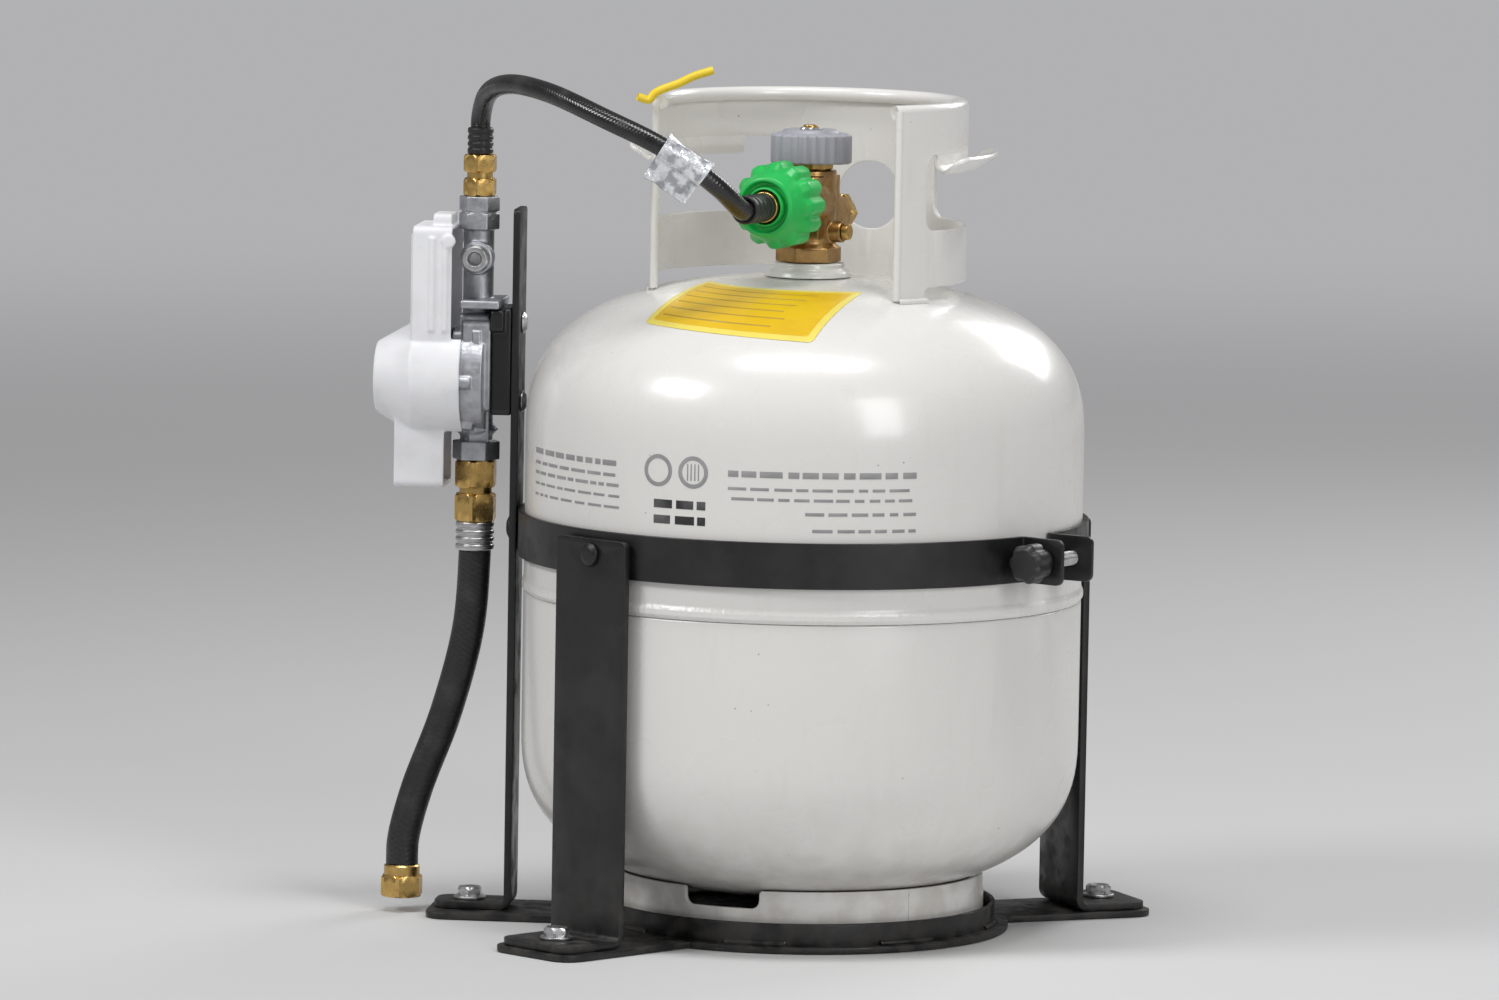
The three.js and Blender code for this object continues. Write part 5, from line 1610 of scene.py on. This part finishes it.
def foot_bolt(name, phi):
    """A flanged hexagon bolt, its underside on the bar's foot."""
    head = PLATE_T + BAR_T + 0.6
    run = [(0, 0.3), (4, 0.3), (4, head), (9, head, 0.3), (9, head + 1.5, 0.4), (6.3, head + 1.5)]
    shank = rounded(run, 0.2, closed=False)
    hexagon = hex_zone(12.4, head + 1.5, head + 6.5, 0.9)
    profile = [*shank, *hexagon[1:], (5.0, head + 6.5), (4.4, head + 6.1), (0, head + 6.1)]
    flats = hex_shape(12.4, [(head + 1.6, head + 6.5)])
    return revolve(name, profile, 96, upright_at(FOOT_BOLT_O, phi), flats)


def build_clamp_band():
    """The band, with its two ends turned out as ears for the clamp bolt."""
    middle = BAND_R + 1.5
    from_phi, to_phi = CLAMP_PHI + 4, CLAMP_PHI + 356

    def spot(phi, o, x=0.0):
        at = turn(phi) @ Vector((x, -o, 0))
        return (at.x, at.y)

    points = [spot(from_phi, CLAMP_O + 13, 1.5), (*spot(from_phi, middle, 1.5), 3.5)]
    points += [spot(phi, middle) for phi in np.linspace(from_phi + 2.4, to_phi - 2.4, 170)]
    points += [(*spot(to_phi, middle, -1.5), 3.5), spot(to_phi, CLAMP_O + 13, -1.5)]
    path = Bend(points)
    half = BAND_H / 2
    outline = rectangle(0, -half, path.total, half, 4.0)
    holes = [circle(13, 0, 4.7, 24), circle(path.total - 13, 0, 4.7, 24)]

    def mapper(x, y, t):
        a, b = path.at(x, t)
        return (a, b, BAND_Z + y)

    far_bend = path.total - 36
    cuts = [*span(0, 22, 11), *span(22, 36, 1.2)]
    cuts += [*span(36, far_bend, 4.0), *span(far_bend, path.total - 22, 1.2)]
    band = plate("clamp_band_rolled", outline, holes, 3.0, 0.45, mapper, cuts)
    stands_for(band, "clamp_band")


def build_clamp():
    """The clamp bolt with its knob, and the screws that hold the regulator to its post."""
    there = sideways(-CLAMP_O, BAND_Z, CLAMP_PHI)
    flip = there @ Matrix.Rotation(math.pi, 4, "X")
    head = [(0, 21), (3.4, 20.8, 1.5), (7.4, 18.2, 1.2), (7.5, 15.9, 0.3), (4, 15.9, 0.2), (4, 14)]
    head = rounded(head, 0.5, closed=False)
    shank = thread(4.0, 0.5, 1.25, -30.0, 14.2, 28)
    bolt = one_mesh("clamp_bolt_threaded", [shank])
    bolt.data.transform(Matrix.Scale(MM, 4) @ there)
    cap = revolve("bolt_head", [*head, (0, 14)], 48, there)
    bolt = joined("clamp_bolt_threaded", bolt, cap)
    stands_for(shade(bolt, 45), "clamp_bolt")
    outside = [
        (4.3, 15.9, 0.3), (7.4, 15.9, 0.6), (7.4, 20.6, 1.0), (11, 22, 1.6),
        (11, 32, 2.6), (8.4, 34.9, 2.0), (0, 34.9),
    ]
    profile = [*rounded(outside, 0.5, closed=False), (0, 31), (4.3, 31)]

    def grip(theta, r, _):
        return r - 1.5 * (0.5 - 0.5 * math.cos(7 * theta)) ** 1.5 * smoothstep(7.5, 10.0, r)

    turned("clamp_knob", "moulded", profile, 0, 168, flip, grip, 50)
    screw = [
        (0, 156.2), (3.6, 156.2, 1.0), (6, 158.0, 0.6), (6, 158.7, 0.2),
        (2.6, 158.7), (2.6, 173), (0, 173),
    ]
    for k, z in enumerate(REG_SCREWS, 1):
        turned(f"regulator_screw_{k}", "turned", screw, 0.3, 40, outwards(z, POST_PHI))


# ---------------------------------------------------------------- label and printing
MERIDIAN = Bend(dome_arc(TANK_R, DOME, HIGH_TANGENT, 1, 22.0, TANK_R, 60)[::-1])
LABEL_PHI = 2.5
LABEL_TILT = -5.0
LABEL_UP = MERIDIAN.total - 72.0  # the middle's length up the dome


def on_dome(lift):
    """A mapper that lays a sheet on the dome where the label is, raised by lift."""
    tilt = rad(LABEL_TILT)

    def mapper(x, y, t):
        across = x * math.cos(tilt) - y * math.sin(tilt)
        up = x * math.sin(tilt) + y * math.cos(tilt)
        r = MERIDIAN.at(LABEL_UP + up, 0).x
        near = MERIDIAN.at(LABEL_UP + up, -(lift + t))
        return round_the_axis(near.x, rad(LABEL_PHI) + across / r, near.y)

    return mapper


def build_label():
    """A blank yellow label with a paler border and plain rules. It carries no writing."""
    half_w, half_h = 53.0, 33.0
    steps_x, steps_y = span(-half_w, half_w, 4.0), span(-half_h, half_h, 3.0)
    outline = rectangle(-half_w, -half_h, half_w, half_h, 3.0)
    sheet = plate("front_label", outline, (), 0.3, 0.08, on_dome(0.25), steps_x, steps_y)
    stands_for(sheet, look=LABEL_BORDER, body="tank", slot="yellow_plastic")
    inner = rectangle(-half_w + 4.5, -half_h + 4.5, half_w - 4.5, half_h - 4.5, 1.5)
    panel = plate("front_label_panel", inner, (), 0.12, 0.03, on_dome(0.44), steps_x, steps_y)
    stands_for(panel, look=LABEL_YELLOW, body="tank", slot="yellow_plastic")
    rules = []
    chance = random.Random(5)
    for k in range(6):
        y = half_h - 11.0 - 8.8 * k
        start = -half_w + 8
        end = half_w - 8 - chance.uniform(0, 22)
        line = rectangle(start, y - 0.6, end, y + 0.6)
        rules.append(plate("rule", line, (), 0.08, 0.02, on_dome(0.53), span(start, end, 4.0)))
    stands_for(joined("front_label_rules", *rules), look=RULE_INK, body="tank", slot="yellow_plastic")


def dashes(chance, x0, x1, y, height, word=(4.0, 13.0)):
    """Blocks along a line, like print seen from far off. They are plain and spell nothing."""
    made = []
    x = x0
    while x < x1 - 2:
        end = min(x1, x + chance.uniform(*word))
        made.append((x, y - height / 2, end, y + height / 2))
        x = end + chance.uniform(1.6, 3.2)
    return made


def printed(name, marks, look):
    """Thin sheets on the cylinder's wall, from outlines with holes. x is 0 where the camera looks."""

    def placed(x, y, t):
        r = TANK_R + 0.06
        return round_the_axis(r + t, rad(CAMERA_AZIMUTH) + x / r, HIGH_TANGENT + y)

    sheets = []
    for outline, holes in marks:
        across = [x for x, y in outline]
        bends = span(min(across), max(across), 3.0)
        sheets.append(plate("mark", outline, holes, 0.08, 0.02, placed, bends))
    stands_for(joined(name, *sheets), look=look, body="tank", slot="white_paint")


def arc_at(x):
    """The arc length round the cylinder of a point that far sideways as the camera sees it."""
    return TANK_R * math.asin(x / TANK_R)


# Rows of grey marks: height on the wall, thickness, and the two ends as the camera sees them.
ROWS = (
    (-6.0, 3.0, -148, -101), (-12.5, 1.8, -148, -101), (-18.0, 1.8, -148, -101),
    (-24.0, 1.4, -148, -101), (-30.0, 1.4, -148, -101),
    (-7.0, 3.4, -42, 60), (-15.0, 1.6, -42, 57), (-20.5, 1.6, -40, 60),
    (-28.0, 1.8, 0, 60), (-37.0, 1.8, 4, 60),
)


def build_print():
    """Grey and black marks above the band, laid out in rows, blocks and two rings."""
    chance = random.Random(23)
    grey = []
    for y, height, x0, x1 in ROWS:
        grey += dashes(chance, arc_at(x0), arc_at(x1), y, height)
    black = []
    for y in (-25.5, -34.0):
        black += dashes(chance, arc_at(-82), arc_at(-54), y, 4.6, (9.0, 14.0))
    ring_y, left, right = -7.5, arc_at(-80), arc_at(-61)
    rings = [(circle(x, ring_y, 8.8, 40), [circle(x, ring_y, 6.5, 40)]) for x in (left, right)]
    hatch = [(right + o - 0.35, ring_y - 4.6, right + o + 0.35, ring_y + 4.6) for o in (-3.2, -1.1, 1.1, 3.2)]
    flat = [(rectangle(*corners), ()) for corners in grey]
    strokes = [(rectangle(*corners), ()) for corners in hatch]
    printed("printed_marks", [*flat, *rings, *strokes], GREY_INK)
    printed("printed_blocks", [(rectangle(*corners), ()) for corners in black], BLACK_INK)


build_shells()
build_boss()
build_foot_ring()
build_collar()
build_rim_clip()
build_valve_body()
build_handwheel()
build_stem()
build_relief()
build_coupling()
build_hoses()
build_regulator_body()
build_regulator_bracket()
build_cover()
build_fittings()
build_regulator_works()
build_base_plate()
build_uprights()
build_clamp_band()
build_clamp()
build_label()
build_print()

for node, thing in frame["nodes"].items():
    if not thing.hide_render:
        thing.data.materials.clear()
        thing.data.materials.append(LOOKS[NODE_SLOT[node]])


# ---------------------------------------------------------------- floor, light and camera
LIGHTS_AIM = Vector((0, 0, 0.22))
HAZE = (0.44, 0.44, 0.45, 1)  # the background's grey, which the floor fades into


def build_stage():
    """A pale floor that fades into the background's grey."""
    floor = bpy.data.meshes.new("floor")
    ring = circle(0, 0, 60.0, 96)
    floor.from_pydata([(x, y, -0.0004) for x, y in ring], [], [list(range(len(ring)))])
    linked("floor", floor)
    look = Look("pale_floor", (0.60, 0.60, 0.60), 0.75)
    haze = look.node("ShaderNodeEmission")
    haze.inputs["Color"].default_value = HAZE
    distance = look.node("ShaderNodeVectorMath", operation="LENGTH")
    look.feed(distance.inputs[0], look.coords)
    mix = look.node("ShaderNodeMixShader")
    look.feed(mix.inputs["Fac"], look.ramp(distance.outputs["Value"], 1.2, 5.0))
    look.feed(mix.inputs[1], look.bsdf.outputs["BSDF"])
    look.feed(mix.inputs[2], haze.outputs["Emission"])
    look.feed(look.tree.nodes["Material Output"].inputs["Surface"], mix.outputs["Shader"])
    floor.materials.append(look.done())


def soft_light(name, size, power, place):
    data = bpy.data.lights.new(name, "AREA")
    data.shape = "RECTANGLE"
    data.size, data.size_y = size
    data.energy = power
    lamp = linked(name, data)
    lamp.location = place
    lamp.rotation_euler = (LIGHTS_AIM - Vector(place)).to_track_quat("-Z", "Y").to_euler()


def build_lights():
    """Four soft lamps, and a background that lights the object less brightly than it looks."""
    soft_light("key", (1.0, 0.6), 36, (-1.5, -1.9, 2.1))
    soft_light("overhead", (1.4, 0.5), 30, (0.2, -0.5, 2.5))
    soft_light("fill", (0.8, 1.6), 26, (2.2, -1.5, 1.3))
    soft_light("back", (1.4, 1.0), 24, (0.6, 2.4, 1.6))
    world = bpy.data.worlds.new("studio")
    bpy.context.scene.world = world
    world.use_nodes = True
    tree = world.node_tree
    background = tree.nodes["Background"]
    background.inputs["Color"].default_value = HAZE
    seen = tree.nodes.new("ShaderNodeLightPath")
    strength = tree.nodes.new("ShaderNodeMix")
    strength.data_type = "FLOAT"
    strength.inputs["A"].default_value = 0.42
    strength.inputs["B"].default_value = 1.0
    tree.links.new(seen.outputs["Is Camera Ray"], strength.inputs["Factor"])
    tree.links.new(strength.outputs["Result"], background.inputs["Strength"])


def build_camera():
    """A long lens from a little above, rolled slightly and framed on the CAD box."""
    data = bpy.data.cameras.new("camera")
    camera = linked("camera", data)
    bpy.context.scene.camera = camera
    lo, hi = CAD_BOX
    aim = Vector(((lo.x + hi.x) / 2, (lo.y + hi.y) / 2, (lo.z + hi.z) / 2 - 0.002))
    a, e = rad(CAMERA_AZIMUTH), rad(CAMERA_ELEVATION)
    back = Vector((math.sin(a) * math.cos(e), -math.cos(a) * math.cos(e), math.sin(e)))
    camera.location = aim + back * CAMERA_DISTANCE
    facing = (-back).to_track_quat("-Z", "Y")
    camera.rotation_euler = (facing @ Quaternion((0, 0, 1), rad(CAMERA_ROLL))).to_euler()
    frame_height = (hi.z - lo.z) * 1.16
    data.sensor_width = 36.0
    frame_width = frame_height * IMAGE_W / IMAGE_H
    data.lens = data.sensor_width * CAMERA_DISTANCE / frame_width
    data.clip_end = 200.0
    bpy.context.scene.view_settings.view_transform = "Standard"


build_stage()
build_lights()
build_camera()
